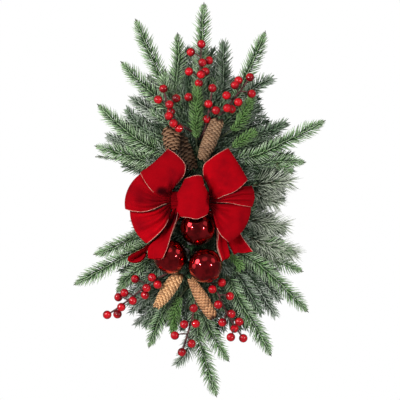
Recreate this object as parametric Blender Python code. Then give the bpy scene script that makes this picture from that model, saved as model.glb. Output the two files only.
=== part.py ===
# Christmas stair garland: a teardrop swag of pine sprays with a velvet bow, balls, cones and berries.
# It hangs flat against a door, a wall or a stair baluster. X is its right, Z is up, and its front
# faces -Y. The origin is the centre of the flat back of the wrapped stem.
# Routes are (x, y, z) in millimetres; mm() turns them into metres.

import math
import random

import bmesh
import bpy
import numpy as np
from mathutils import Matrix, Vector
from mathutils.bvhtree import BVHTree

MM = 0.001
SEED = 1224
SEAT_GAP = 0.3                  # kept between two pieces that touch

# Wrapped stem
STEM_HALF_HEIGHT = 135.0
STEM_HALF_WIDTH = 9.0
STEM_DEPTH = 14.0
STEM_SIDE_DEPTH = 10.0          # the sides are this deep before the front is rounded off
STEM_FRONT_HALF_WIDTH = 5.0

# Wire loop that the swag hangs by
LOOP_RADIUS = 12.0
LOOP_WIRE_RADIUS = 1.1
LOOP_DEPTH = -4.0

# Pine sprays
CORE_RADIUS = 1.35
CORE_TIP_RADIUS = 0.8
CORE_SIDES = 3
STALK_STEP = 13.0
NEEDLE_STEP = 5.8
NEEDLE_LENGTH = 15.0
LONG_NEEDLE_LENGTH = 27.0
NEEDLE_LEAN = math.radians(50)
NEEDLE_TIP_LEAN = math.radians(26)
NEEDLE_JITTER = math.radians(5)
NEEDLE_ROOT_RADIUS = 1.1
NEEDLE_CLEARANCE = 0.45

# Ribbon
RIBBON_THICKNESS = 0.9
LOOP_PUFF = 26.0                # depth of a full loop between its two layers
TUCKED_PUFF = 13.0              # the same along an edge that tucks into the loop before it
GATHER_HALF_GAP = 1.3           # half the gap between a loop's two layers where they are tied
BOW_GATHER_DEPTH = -52.0
BOW_LOOP_DEPTH = -72.0
CENTRE_LOOP_HALF_WIDTH = 14.0
CENTRE_LOOP_FOOT = 8.0          # the centre loop stands this far in front of the gather
CENTRE_LOOP_RISE = 24.0         # and reaches its full width this much further out
TIE_LEFT = -40.8
TIE_RIGHT = 14.2
TIE_HALF_HEIGHT = 12.0
TIE_HALF_DEPTH = 6.0
TIE_HEIGHT = -3.0
TIE_SECTIONS = ((TIE_LEFT, 0.85), ((TIE_LEFT + TIE_RIGHT) / 2, 0.95), (TIE_RIGHT, 1.0))

# Balls
BALL_RADIUS = 25.5
BALL_SEGMENTS = 14
BALL_RINGS = 9
NECK_RADIUS = 4.0
NECK_RISE = 1.2
CAP_RADIUS = 5.0
CAP_HEIGHT = 5.0
CAP_LUG_RADIUS = 2.6
LUG_RISE = 1.8                  # from the cap's top to the lug's centre
BALL_WIRE_RADIUS = 1.4

# Berries
BERRY_RADIUS = 6.4
BERRY_SEGMENTS = 6
BERRY_RINGS = 4
PICK_RADIUS = 1.1
STALK_RADIUS = 0.7
STALK_LEAN_BACK = 9.0           # a stalk leaves the pick this far before its berry

# Cones
CONE_COLUMNS = 10
CONE_ROWS = 7
CONE_SCALE_RISE = 0.16
CONE_WIRE_RADIUS = 1.0

COLOURS = {
    "stem_tape": ((0.055, 0.10, 0.045), 0.8, 0.0),
    "green_wire": ((0.05, 0.12, 0.05), 0.5, 0.6),
    "pine_green": ((0.10, 0.24, 0.09), 0.6, 0.0),
    "pine_frosted": ((0.30, 0.38, 0.30), 0.7, 0.0),
    "pine_bright": ((0.14, 0.33, 0.08), 0.6, 0.0),
    "velvet_red": ((0.55, 0.0, 0.01), 0.8, 0.0),
    "ball_red": ((0.35, 0.0, 0.01), 0.08, 1.0),
    "cap_silver": ((0.75, 0.75, 0.76), 0.25, 1.0),
    "cone_brown": ((0.36, 0.20, 0.10), 0.8, 0.0),
    "berry_red": ((0.60, 0.01, 0.01), 0.15, 0.0),
}

# Each branch: its finish, where it is tied to the stem, and the routes of its sprays. The first
# point of a route is where its needles begin and the last is its tip. Every spray after the first
# forks off the first one's stalk.
FRONT_BRANCHES = {
    "pine_front_top": {
        "finish": "pine_bright", "root": (-3, -14, 76), "stalk": [(-3, -24, 82)],
        "sprays": [[(-4, -34, 92), (-4, -42, 112), (-4, -44, 138), (-3, -44, 168)]],
    },
    "pine_front_right_high": {
        "finish": "pine_bright", "root": (4, -14, 84), "stalk": [(18, -26, 88), (34, -34, 94)],
        "sprays": [[(48, -38, 104), (60, -42, 114), (79, -44, 153)]],
    },
    "pine_front_right_low": {
        "finish": "pine_bright", "root": (4, -14, 64), "stalk": [(18, -28, 66), (34, -36, 70)],
        "sprays": [[(50, -42, 79), (68, -46, 91), (84, -48, 102)]],
    },
    "pine_front_below_bow": {
        "finish": "pine_bright", "root": (4, -14, -82), "stalk": [(20, -26, -80), (36, -34, -78)],
        "sprays": [[(46, -40, -82), (56, -46, -92), (63, -50, -104)]],
    },
    "pine_bottom_green": {
        "finish": "pine_bright", "root": (-4, -14, -118), "stalk": [(-16, -24, -130)],
        "sprays": [[(-28, -30, -146), (-36, -30, -170), (-39, -28, -200)]],
    },
}

BACK_BRANCHES = {
    "pine_top": {
        "finish": "pine_green", "root": (2, -14, 128), "stalk": [(3, -18, 145)],
        "sprays": [[(3, -18, 160), (4, -17, 214), (5.5, -17, 262), (7.5, -18, 298)]],
    },
    "pine_top_left": {
        "finish": "pine_green", "root": (-9, -6, 122), "stalk": [(-20, -8, 134)],
        "sprays": [
            [(-32, -11, 152), (-36, -14, 176), (-32, -17, 214), (-33, -20, 251)],
            [(-44, -22, 158), (-52, -26, 174), (-50, -28, 196)],
        ],
    },
    "pine_tall_left": {
        "finish": "pine_green", "root": (-9, -6, 104), "stalk": [(-22, -8, 116)],
        "sprays": [[(-42, -10, 144), (-58, -12, 179), (-80, -14, 227), (-97, -16, 272)]],
    },
    "pine_left_high": {
        "finish": "pine_green", "root": (-9, -6, 88), "stalk": [(-24, -12, 102)],
        "sprays": [
            [(-48, -20, 138), (-68, -22, 162), (-95, -22, 187), (-118, -22, 209)],
            [(-50, -12, 112), (-68, -14, 132), (-90, -14, 147), (-112, -14, 158)],
        ],
    },
    "pine_left_forked": {
        "finish": "pine_green", "root": (-9, -6, 58), "stalk": [(-28, -12, 62)],
        "sprays": [
            [(-52, -22, 70), (-78, -26, 82), (-101, -28, 100), (-127, -28, 122), (-153, -26, 145)],
            [(-70, -18, 88), (-84, -16, 104), (-97, -14, 120), (-108, -12, 135)],
        ],
    },
    "pine_left_low": {
        "finish": "pine_green", "root": (-9, -6, 42), "stalk": [(-30, -10, 44)],
        "sprays": [
            [(-56, -18, 52), (-90, -22, 61), (-119, -22, 70), (-158, -20, 81)],
            [(-76, -10, 66), (-104, -8, 80), (-136, -8, 95)],
            [(-104, -14, 56), (-130, -12, 58), (-156, -12, 61)],
            [(-46, -8, 33), (-66, -7, 27), (-90, -7, 25)],
        ],
    },
    "pine_top_right": {
        "finish": "pine_frosted", "root": (9, -6, 120), "stalk": [(20, -8, 132)],
        "sprays": [[(32, -12, 150), (37, -14, 178), (37, -15, 210), (38, -16, 236)]],
    },
    "pine_right_tall": {
        "finish": "pine_green", "root": (9, -6, 102), "stalk": [(26, -8, 114)],
        "sprays": [
            [(54, -12, 150), (70, -14, 184), (82, -15, 212), (100, -16, 254)],
            [(74, -20, 156), (92, -24, 171), (113, -24, 182)],
        ],
    },
    "pine_right_dark": {
        "finish": "pine_frosted", "root": (9, -6, 84), "stalk": [(30, -8, 90)],
        "sprays": [
            [(60, -10, 96), (94, -12, 104), (118, -12, 113), (140, -12, 122)],
            [(72, -16, 112), (84, -16, 134), (90, -16, 160)],
        ],
    },
    "pine_right_high": {
        "finish": "pine_green", "root": (9, -6, 60), "stalk": [(32, -10, 60)],
        "sprays": [[(58, -24, 62), (86, -28, 68), (120, -26, 84), (152, -24, 100), (191, -22, 120)]],
    },
    "pine_right_mid": {
        "finish": "pine_green", "root": (9, -6, 42), "stalk": [(34, -8, 44)],
        "sprays": [
            [(60, -12, 48), (90, -14, 55), (126, -16, 58), (160, -16, 60)],
            [(118, -20, 50), (132, -22, 46), (143, -22, 38)],
        ],
    },
    "pine_long_needled_high": {
        "finish": "pine_frosted", "root": (9, -6, 20), "stalk": [(40, -10, 22)], "long": True,
        "sprays": [[(84, -22, 24), (104, -26, 28), (144, -28, 29)]],
    },
    "pine_long_needled_low": {
        "finish": "pine_frosted", "root": (9, -6, -6), "stalk": [(40, -10, -12)], "long": True,
        "sprays": [[(72, -18, -22), (100, -22, -34), (134, -22, -42)]],
    },
    "pine_lower_right_high": {
        "finish": "pine_green", "root": (9, -6, -26), "stalk": [(36, -8, -40)],
        "sprays": [
            [(62, -12, -60), (94, -14, -78), (128, -16, -94), (157, -16, -108)],
            [(96, -22, -64), (120, -26, -72), (147, -26, -82)],
        ],
    },
    "pine_lower_right_mid": {
        "finish": "pine_green", "root": (9, -6, -44), "stalk": [(32, -14, -58)],
        "sprays": [[(62, -28, -80), (90, -30, -98), (113, -30, -118), (135, -30, -140), (165, -28, -170)]],
    },
    "pine_lower_right_low": {
        "finish": "pine_frosted", "root": (9, -6, -62), "stalk": [(30, -10, -76)],
        "sprays": [
            [(56, -12, -98), (84, -14, -127), (102, -14, -155), (117, -14, -179)],
            [(58, -24, -112), (75, -26, -140), (93, -26, -170)],
        ],
    },
    "pine_bottom_right": {
        "finish": "pine_green", "root": (9, -6, -80), "stalk": [(24, -14, -92)],
        "sprays": [[(46, -30, -120), (58, -32, -148), (80, -32, -184), (96, -30, -211), (109, -28, -236)]],
    },
    "pine_bottom": {
        "finish": "pine_green", "root": (-2, -14, -130), "stalk": [(-4, -16, -146)],
        "sprays": [
            [(-6, -16, -166), (0, -16, -213), (9, -16, -242), (17, -16, -268), (27, -16, -299)],
            [(-14, -12, -190), (-22, -12, -222), (-35, -12, -252)],
            [(6, -20, -170), (16, -22, -196), (30, -22, -222), (46, -20, -245)],
        ],
    },
    "pine_bottom_left": {
        "finish": "pine_frosted", "root": (-9, -6, -106), "stalk": [(-22, -8, -118)],
        "sprays": [
            [(-42, -12, -142), (-58, -14, -176), (-67, -14, -199), (-76, -14, -225)],
            [(-66, -10, -140), (-86, -10, -156), (-104, -12, -172)],
        ],
    },
    "pine_lower_left_low": {
        "finish": "pine_green", "root": (-9, -6, -66), "stalk": [(-32, -8, -72)],
        "sprays": [
            [(-58, -14, -84), (-90, -18, -104), (-110, -18, -122), (-125, -18, -142)],
            [(-56, -22, -96), (-72, -26, -112), (-82, -26, -128)],
        ],
    },
    "pine_lower_left_mid": {
        "finish": "pine_green", "root": (-9, -6, -46), "stalk": [(-36, -12, -54)],
        "sprays": [[(-72, -22, -68), (-107, -26, -82), (-127, -27, -91), (-155, -27, -108), (-189, -26, -128)]],
    },
    "pine_lower_left_high": {
        "finish": "pine_green", "root": (-9, -6, -24), "stalk": [(-36, -8, -32)],
        "sprays": [
            [(-64, -12, -42), (-93, -14, -54), (-118, -16, -66), (-138, -16, -74), (-160, -16, -82)],
            [(-50, -7, -22), (-70, -7, -13), (-92, -7, -8)],
            [(-42, -7, -16), (-54, -7, 1), (-72, -7, 9)],
        ],
    },
}

# Each pick: where it is tied, the route of its stem, whose last point is a berry, and its berries.
BERRY_PICKS = {
    "berries_top": {
        "root": (0, -14, 116), "route": [(0, -30, 136), (1, -42, 165), (2, -46, 200), (3.5, -48, 232)],
        "berries": [(-12, -50, 220), (5, -53, 204), (15, -44, 208), (-15, -50, 191), (3, -55, 186.5),
                    (9.5, -45, 191.5), (0, -40, 174)],
    },
    "berries_top_left": {
        "root": (-4, -14, 100), "route": [(-14, -34, 104), (-34, -50, 118), (-46, -54, 140), (-53, -55, 165)],
        "berries": [(-61, -52, 149), (-34, -52, 151), (-44, -63, 141), (-42, -48, 131), (-45, -61, 124),
                    (-38, -66, 113), (-30, -59, 106)],
    },
    "berries_top_right": {
        "root": (4, -14, 98), "route": [(16, -24, 112), (38, -34, 134), (60, -52, 160), (76, -55, 182)],
        "berries": [(59, -54, 177.5), (53.5, -64, 170), (78.5, -58, 157.5), (41, -58, 155), (58.5, -65, 144.5),
                    (42, -62, 136), (49, -50, 135)],
    },
    "berries_top_centre": {
        "root": (0, -14, 90), "route": [(8, -36, 102), (13, -48, 124), (17, -54, 146), (20, -55, 166)],
        "berries": [(14, -62, 142), (25, -62, 132.5), (11.5, -42, 120), (-15.5, -56, 152.5)],
    },
    "berries_left": {
        "root": (-4, -14, -92),
        "route": [(-30, -26, -104), (-62, -44, -118), (-98, -50, -144), (-118, -51, -160), (-137, -52, -172)],
        "berries": [(-70, -60, -116), (-61.5, -60, -126.5), (-78, -61, -131.5), (-80.5, -52, -142.5),
                    (-95.5, -44, -119), (-111, -56, -139), (-120.5, -46, -146), (-98.5, -60, -150.5),
                    (-115.5, -62, -160), (-121.5, -52, -171)],
    },
    "berries_bottom": {
        "root": (-2, -14, -126), "route": [(-4, -34, -146), (-10, -44, -176), (-18, -46, -204), (-25.5, -48, -228)],
        "berries": [(-8, -56, -162), (-22, -54, -186), (-5, -54, -185), (-36, -50, -203), (-11, -52, -215)],
    },
    "berries_right": {
        "root": (4, -14, -112), "route": [(14, -34, -118), (28, -44, -140), (44, -48, -174), (66, -50, -207)],
        "berries": [(34, -52, -124), (20, -50, -134), (46, -54, -144), (28.5, -58, -156.5), (48, -60, -170),
                    (35, -56, -183), (60, -58, -182), (53, -46, -193), (47.5, -56, -205)],
    },
}

# Each cone: the point of its base, the point of its tip, its widest radius and how much it narrows
# towards the tip; its wire runs from the point of the stem given to the end named.
CONES = {
    "cone_upper_left": {"base": (-43, -45, 109), "tip": (-40, -58, 75), "radius": 12.5, "taper": 0.10,
                        "tied": "base", "root": (-4, -14, 112)},
    "cone_upper_middle": {"base": (-33, -25, 97), "tip": (-8, -33, 46), "radius": 12.0, "taper": 0.30,
                          "tied": "tip", "root": (-4, -14, 54)},
    "cone_upper_right": {"base": (28.5, -48, 119.5), "tip": (4, -46, 58), "radius": 12.5, "taper": 0.08,
                         "tied": "base", "root": (3, -14, 108)},
    "cone_lower_left": {"base": (-29, -42, -111), "tip": (-64, -50, -161), "radius": 12.5, "taper": 0.25,
                        "tied": "base", "root": (-4, -14, -104)},
    "cone_lower_right": {"base": (21, -50, -176), "tip": (-14, -42, -117), "radius": 11.5, "taper": 0.35,
                         "tied": "tip", "root": (0, -14, -120)},
}

BALLS = {
    "upper": {"centre": (-2, -61, -43), "cap_to": (-0.38, 0.62, -0.69)},
    "left": {"centre": (-43, -57, -85), "cap_to": (0.80, 0.55, 0.24)},
    "right": {"centre": (9.5, -67, -98), "cap_to": (-0.52, 0.78, 0.36)},
}
BALL_WIRE_ROUTE = [(-3, -14, -72), (-8, -22, -72), (-13, -31, -73)]

# Each loop's two edges, from the tie to the fold, in (x, z); "edge_a" is the upper edge. The
# second loop and the third tuck their upper edges into the loop above.
BOW_LOOPS = {
    "bow_loop_upper_left": {
        "edge_a": [(-42, 8), (-39, 16), (-31, 25), (-22, 37), (-21, 52), (-33, 66), (-46, 75)],
        "edge_b": [(-42, 3), (-54, 5), (-67, 11), (-78, 24), (-87, 40)],
        "tucked": False, "bulge": -2,
    },
    "bow_loop_left": {
        "edge_a": [(-42, 1.5), (-54, 3), (-64, 12), (-74, 26), (-86, 38)],
        "edge_b": [(-42, -3.5), (-54, -8), (-67, -14), (-82, -18), (-98, -17), (-109, -14)],
        "tucked": True, "bulge": 7,
    },
    "bow_loop_lower_left": {
        "edge_a": [(-42, -5), (-54, -10.5), (-67, -16), (-82, -17), (-102, -16)],
        "edge_b": [(-42, -10), (-45, -28), (-53, -43), (-67, -57), (-77, -65)],
        "tucked": True, "bulge": 5.5,
    },
    "bow_loop_upper_right": {
        "edge_a": [(15.4, 8), (14, 20), (7, 34), (7, 50), (16, 59), (27, 67), (43, 76)],
        "edge_b": [(15.4, 3), (26, 1), (38, 6), (51, 11), (62, 19), (72, 29)],
        "tucked": False, "bulge": 1,
    },
    "bow_loop_right": {
        "edge_a": [(15.4, 1.5), (26, 0.5), (38, 7), (51, 13), (62, 18), (78, 20)],
        "edge_b": [(15.4, -3.5), (26, -4), (45, -5), (60, -8), (78, -11)],
        "tucked": True, "bulge": 4,
    },
    "bow_loop_lower_right": {
        "edge_a": [(15.4, -5), (26, -6.5), (38, -7), (50, -5), (62, -6), (76.5, -10)],
        "edge_b": [(15.4, -10), (20, -18), (23, -30), (27, -43), (33, -53), (44, -63)],
        "tucked": True, "bulge": 9,
    },
}

# The other stretches of ribbon: both edges, from the tie outwards; "bulge" widens a loop's sides
# halfway between its edges, and "steps" is how many lengths it is made of.
RIBBONS = {
    "bow_loop_centre": {
        "edge_a": [(-14, -57.8, 4), (-17, -67, 16), (-20, -79, 25), (-20.5, -88, 30), (-12, -93, 33.5),
                   (-3, -94, 35.5), (4.5, -89, 34), (4, -79, 25), (-1, -67, 15), (-5, -57.8, 4)],
        "edge_b": [(-14, -57.8, -10), (-18, -67, -14), (-24, -79, -20), (-27, -88, -25), (-15, -93, -26.5),
                   (-3, -94, -28.5), (12, -90, -22), (10, -79, -18), (1, -67, -14), (-5, -57.8, -10)],
        "steps": 14, "bulge": 8,
    },
    "bow_tail_left": {
        "edge_a": [(-38, -52, -13.9), (-46, -54, -34), (-58, -68, -54), (-74, -80, -70), (-75, -86, -86)],
        "edge_b": [(-30, -52, -13.9), (-32, -60, -30), (-40, -74, -50), (-46, -84, -70), (-53, -90, -87)],
    },
    "bow_tail_left_curl": {
        "edge_a": [(-26, -52, -14.3), (-44, -46, -40), (-64, -52, -60), (-78, -66, -72), (-90, -74, -78),
                   (-100, -78, -83), (-105.5, -79, -88.5), (-101, -79, -92.5), (-93, -78, -92.5),
                   (-85, -76, -90), (-79, -74, -85)],
        "edge_b": [(-22, -52, -14.3), (-40, -38, -42), (-64, -36, -62), (-79, -38, -74.5), (-88, -40, -80.5),
                   (-95, -42, -84), (-98.5, -43, -87), (-95.5, -43, -88.8), (-90, -42, -88.5),
                   (-84, -41, -86.5), (-80, -40, -83.5)],
        "steps": 18, "bulge": 0,
    },
    "bow_tail_right_inner": {
        "edge_a": [(9, -52, -15.6), (14, -48, -19), (24, -46, -27), (27, -53, -39), (28, -62, -56),
                   (27, -76, -70), (33, -84, -89)],
        "edge_b": [(13, -52, -15.6), (19, -45, -18), (30, -42, -24), (36, -46, -42), (41, -50, -62),
                   (44, -60, -74), (46, -70, -84)],
    },
    "bow_tail_right_outer": {
        "edge_a": [(1, -52, -15.5), (5, -45, -20), (20, -37, -33), (35, -37, -50), (44, -44, -66),
                   (52, -57, -80)],
        "edge_b": [(5, -52, -15.5), (12, -41, -20), (34, -32, -27), (56, -40, -42), (66, -50, -58),
                   (80, -57, -78)],
    },
}


def mm(point):
    return Vector(point) * MM


def clear_scene():
    for ob in list(bpy.data.objects):
        bpy.data.objects.remove(ob, do_unlink=True)


def material(name):
    colour, roughness, metallic = COLOURS[name]
    mat = bpy.data.materials.get(name)
    if mat is None:
        mat = bpy.data.materials.new(name)
        mat.use_nodes = True
        shader = mat.node_tree.nodes["Principled BSDF"]
        shader.inputs["Base Color"].default_value = (*colour, 1.0)
        shader.inputs["Roughness"].default_value = roughness
        shader.inputs["Metallic"].default_value = metallic
    return mat


def add_object(name, verts, faces, finish, smooth=False):
    """Makes an object from points in millimetres, with its own copy of the finish."""
    mesh = bpy.data.meshes.new(name)
    mesh.from_pydata([mm(v) for v in verts], [], faces)
    mesh.validate()
    ob = bpy.data.objects.new(name, mesh)
    bpy.context.scene.collection.objects.link(ob)
    face_out(mesh)
    own = material(finish).copy()
    own.name = name
    mesh.materials.append(own)
    if smooth:
        mesh.shade_smooth()
        mesh.set_sharp_from_angle(angle=math.radians(40))
    return ob


def face_out(mesh):
    bm = bmesh.new()
    bm.from_mesh(mesh)
    bmesh.ops.recalc_face_normals(bm, faces=bm.faces)
    bm.to_mesh(mesh)
    bm.free()


# Curves and frames

def smooth_route(points, step):
    """Points about a step apart on a smooth curve through the given ones."""
    pts = [Vector(p) for p in points]
    padded = [pts[0] * 2 - pts[1]] + pts + [pts[-1] * 2 - pts[-2]]
    route = [pts[0]]
    for a, b, c, d in zip(padded, padded[1:], padded[2:], padded[3:]):
        count = max(1, round((c - b).length / step))
        for k in range(1, count + 1):
            t = k / count
            route.append(0.5 * ((2 * b) + (c - a) * t + (2 * a - 5 * b + 4 * c - d) * t * t
                                + (3 * b - a - 3 * c + d) * t ** 3))
    return route


def frames_along(points):
    """The direction and two cross directions at each point, turned as little as possible."""
    tangents = []
    for i in range(len(points)):
        ahead = points[min(i + 1, len(points) - 1)]
        behind = points[max(i - 1, 0)]
        tangents.append((ahead - behind).normalized())
    side = tangents[0].orthogonal().normalized()
    frames = []
    for tangent in tangents:
        side = (side - tangent * side.dot(tangent)).normalized()
        frames.append((tangent, side, tangent.cross(side)))
    return frames


def tube(points, radii, sides):
    """Verts and faces of a closed tube with flat ends."""
    verts, faces = [], []
    for point, radius, (_, side, up) in zip(points, radii, frames_along(points)):
        for k in range(sides):
            angle = 2 * math.pi * k / sides
            verts.append(point + radius * (math.cos(angle) * side + math.sin(angle) * up))
    for i in range(len(points) - 1):
        for k in range(sides):
            a = i * sides + k
            b = i * sides + (k + 1) % sides
            faces.append((a, b, b + sides, a + sides))
    faces.append(tuple(reversed(range(sides))))
    faces.append(tuple(range(len(verts) - sides, len(verts))))
    return verts, faces


def lathe(axis_from, axis_to, profile, segments):
    """A closed turned body; profile is (share of the axis, radius), from one pole to the other."""
    start = Vector(axis_from)
    axis = Vector(axis_to) - start
    _, side, up = frames_along([start, start + axis])[0]
    verts, rings, faces = [], [], []
    for share, radius in profile:
        centre = start + axis * share
        if radius < 1e-6:
            rings.append([len(verts)])
            verts.append(centre)
            continue
        rings.append(list(range(len(verts), len(verts) + segments)))
        for k in range(segments):
            angle = 2 * math.pi * k / segments
            verts.append(centre + radius * (math.cos(angle) * side + math.sin(angle) * up))
    for low, high in zip(rings, rings[1:]):
        for k in range(segments):
            n = (k + 1) % segments
            if len(low) == 1:
                faces.append((low[0], high[n], high[k]))
            elif len(high) == 1:
                faces.append((low[k], low[n], high[0]))
            else:
                faces.append((low[k], low[n], high[n], high[k]))
    return verts, faces


def union(name, pieces, finish, smooth=False):
    """One solid from overlapping closed pieces, each a pair of verts and faces."""
    first = add_object(name, *pieces[0], finish, smooth)
    if len(pieces) == 1:
        return first
    group = bpy.data.collections.new(name + "_pieces")
    others = [add_object(name + "_piece", *piece, finish, smooth) for piece in pieces[1:]]
    for ob in others:
        group.objects.link(ob)
        bpy.context.scene.collection.objects.unlink(ob)
    join = first.modifiers.new("join", "BOOLEAN")
    join.operation = "UNION"
    join.operand_type = "COLLECTION"
    join.collection = group
    join.solver = "MANIFOLD"
    bpy.context.scene.collection.children.link(group)
    evaluated = first.evaluated_get(bpy.context.evaluated_depsgraph_get())
    joined = bpy.data.meshes.new_from_object(evaluated)
    first.modifiers.remove(join)
    first.data = joined
    joined.materials.clear()
    own = bpy.data.materials[name]
    joined.materials.append(own)
    for ob in others:
        bpy.data.objects.remove(ob, do_unlink=True)
    bpy.data.collections.remove(group)
    return first


# What a new needle has to stay clear of

class Surroundings:
    """The tapered rods and the closed surfaces already in place."""

    def __init__(self):
        self.start = np.zeros((0, 3))
        self.end = np.zeros((0, 3))
        self.start_radius = np.zeros(0)
        self.end_radius = np.zeros(0)
        self.owner = []
        self.surfaces = []

    def add_rods(self, rods, owner):
        if not rods:
            return
        self.start = np.vstack([self.start, [tuple(r[0]) for r in rods]])
        self.end = np.vstack([self.end, [tuple(r[1]) for r in rods]])
        self.start_radius = np.append(self.start_radius, [r[2] for r in rods])
        self.end_radius = np.append(self.end_radius, [r[3] for r in rods])
        self.owner += [owner] * len(rods)

    def add_surface(self, ob):
        verts = [v.co / MM for v in ob.data.vertices]
        polygons = [tuple(p.vertices) for p in ob.data.polygons]
        self.surfaces.append(BVHTree.FromPolygons(verts, polygons))

    def is_clear(self, a, b, radius_a, radius_b, owner):
        ray = b - a
        for tree in self.surfaces:
            if tree.ray_cast(a, ray.normalized(), ray.length)[0] is not None:
                return False
            for share in (0.25, 0.5, 0.75, 1.0):
                radius = radius_a + (radius_b - radius_a) * share
                if tree.find_nearest(a + ray * share, radius + NEEDLE_CLEARANCE)[0] is not None:
                    return False
        return self.gap(a, b, radius_a, radius_b, owner) > NEEDLE_CLEARANCE

    def gap(self, a, b, radius_a, radius_b, owner):
        """The smallest gap from the rod a-b to every rod that another spray owns."""
        others = np.array([o != owner for o in self.owner], dtype=bool)
        if not others.any():
            return 1e9
        p, q = self.start[others], self.end[others]
        d1 = np.array(b) - np.array(a)
        d2 = q - p
        r = np.array(a) - p
        aa = d1 @ d1
        ee = np.einsum("ij,ij->i", d2, d2)
        ff = np.einsum("ij,ij->i", d2, r)
        cc = r @ d1
        bb = d2 @ d1
        denominator = np.maximum(aa * ee - bb * bb, 1e-9)
        s = np.clip((bb * ff - cc * ee) / denominator, 0, 1)
        t = np.clip((bb * s + ff) / ee, 0, 1)
        s = np.clip((bb * t - cc) / aa, 0, 1)
        near = (np.array(a) + s[:, None] * d1) - (p + t[:, None] * d2)
        distance = np.linalg.norm(near, axis=1)
        own_radius = radius_a + (radius_b - radius_a) * s
        start_radius, end_radius = self.start_radius[others], self.end_radius[others]
        other_radius = start_radius + (end_radius - start_radius) * t
        return float((distance - own_radius - other_radius).min())


# Pieces

def make_stem(surroundings):
    """The bundle of branch wires, wrapped in green tape, with a flat back."""
    outline = [
        (-STEM_HALF_WIDTH, 0), (STEM_HALF_WIDTH, 0), (STEM_HALF_WIDTH, -STEM_SIDE_DEPTH),
        (STEM_FRONT_HALF_WIDTH, -STEM_DEPTH), (-STEM_FRONT_HALF_WIDTH, -STEM_DEPTH),
        (-STEM_HALF_WIDTH, -STEM_SIDE_DEPTH),
    ]
    count = len(outline)
    verts = [(x, y, -STEM_HALF_HEIGHT) for x, y in outline]
    verts += [(x, y, STEM_HALF_HEIGHT) for x, y in outline]
    faces = [tuple(reversed(range(count))), tuple(range(count, 2 * count))]
    for k in range(count):
        n = (k + 1) % count
        faces.append((k, n, n + count, k + count))
    stem = add_object("wrapped_stem", verts, faces, "stem_tape")
    surroundings.add_surface(stem)


def make_hanging_loop(surroundings):
    """A wire ring that stands on the top of the stem."""
    height = STEM_HALF_HEIGHT + LOOP_RADIUS + LOOP_WIRE_RADIUS + SEAT_GAP
    segments, sides = 16, 5
    verts, faces = [], []
    for i in range(segments):
        turn = 2 * math.pi * i / segments
        for k in range(sides):
            angle = 2 * math.pi * k / sides
            reach = LOOP_RADIUS + LOOP_WIRE_RADIUS * math.cos(angle)
            verts.append((reach * math.sin(turn), LOOP_DEPTH + LOOP_WIRE_RADIUS * math.sin(angle),
                          height - reach * math.cos(turn)))
    for i in range(segments):
        for k in range(sides):
            a = i * sides + k
            b = i * sides + (k + 1) % sides
            c = ((i + 1) % segments) * sides + (k + 1) % sides
            d = ((i + 1) % segments) * sides + k
            faces.append((a, b, c, d))
    ring = add_object("hanging_loop", verts, faces, "green_wire", smooth=True)
    surroundings.add_surface(ring)


def seat(root):
    """The point 0.3 mm off the stem's surface at a root, and the way out of the surface."""
    x, y, z = root
    if abs(x) >= STEM_HALF_WIDTH:
        out = Vector((math.copysign(1, x), 0, 0))
    else:
        out = Vector((0, -1, 0))
    return Vector(root) + out * SEAT_GAP, out


def stalk_route(root, through, step):
    """A smooth route that leaves the stem square to its surface."""
    start, out = seat(root)
    return smooth_route([start, start + out * 3.0] + list(through), step)


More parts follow.
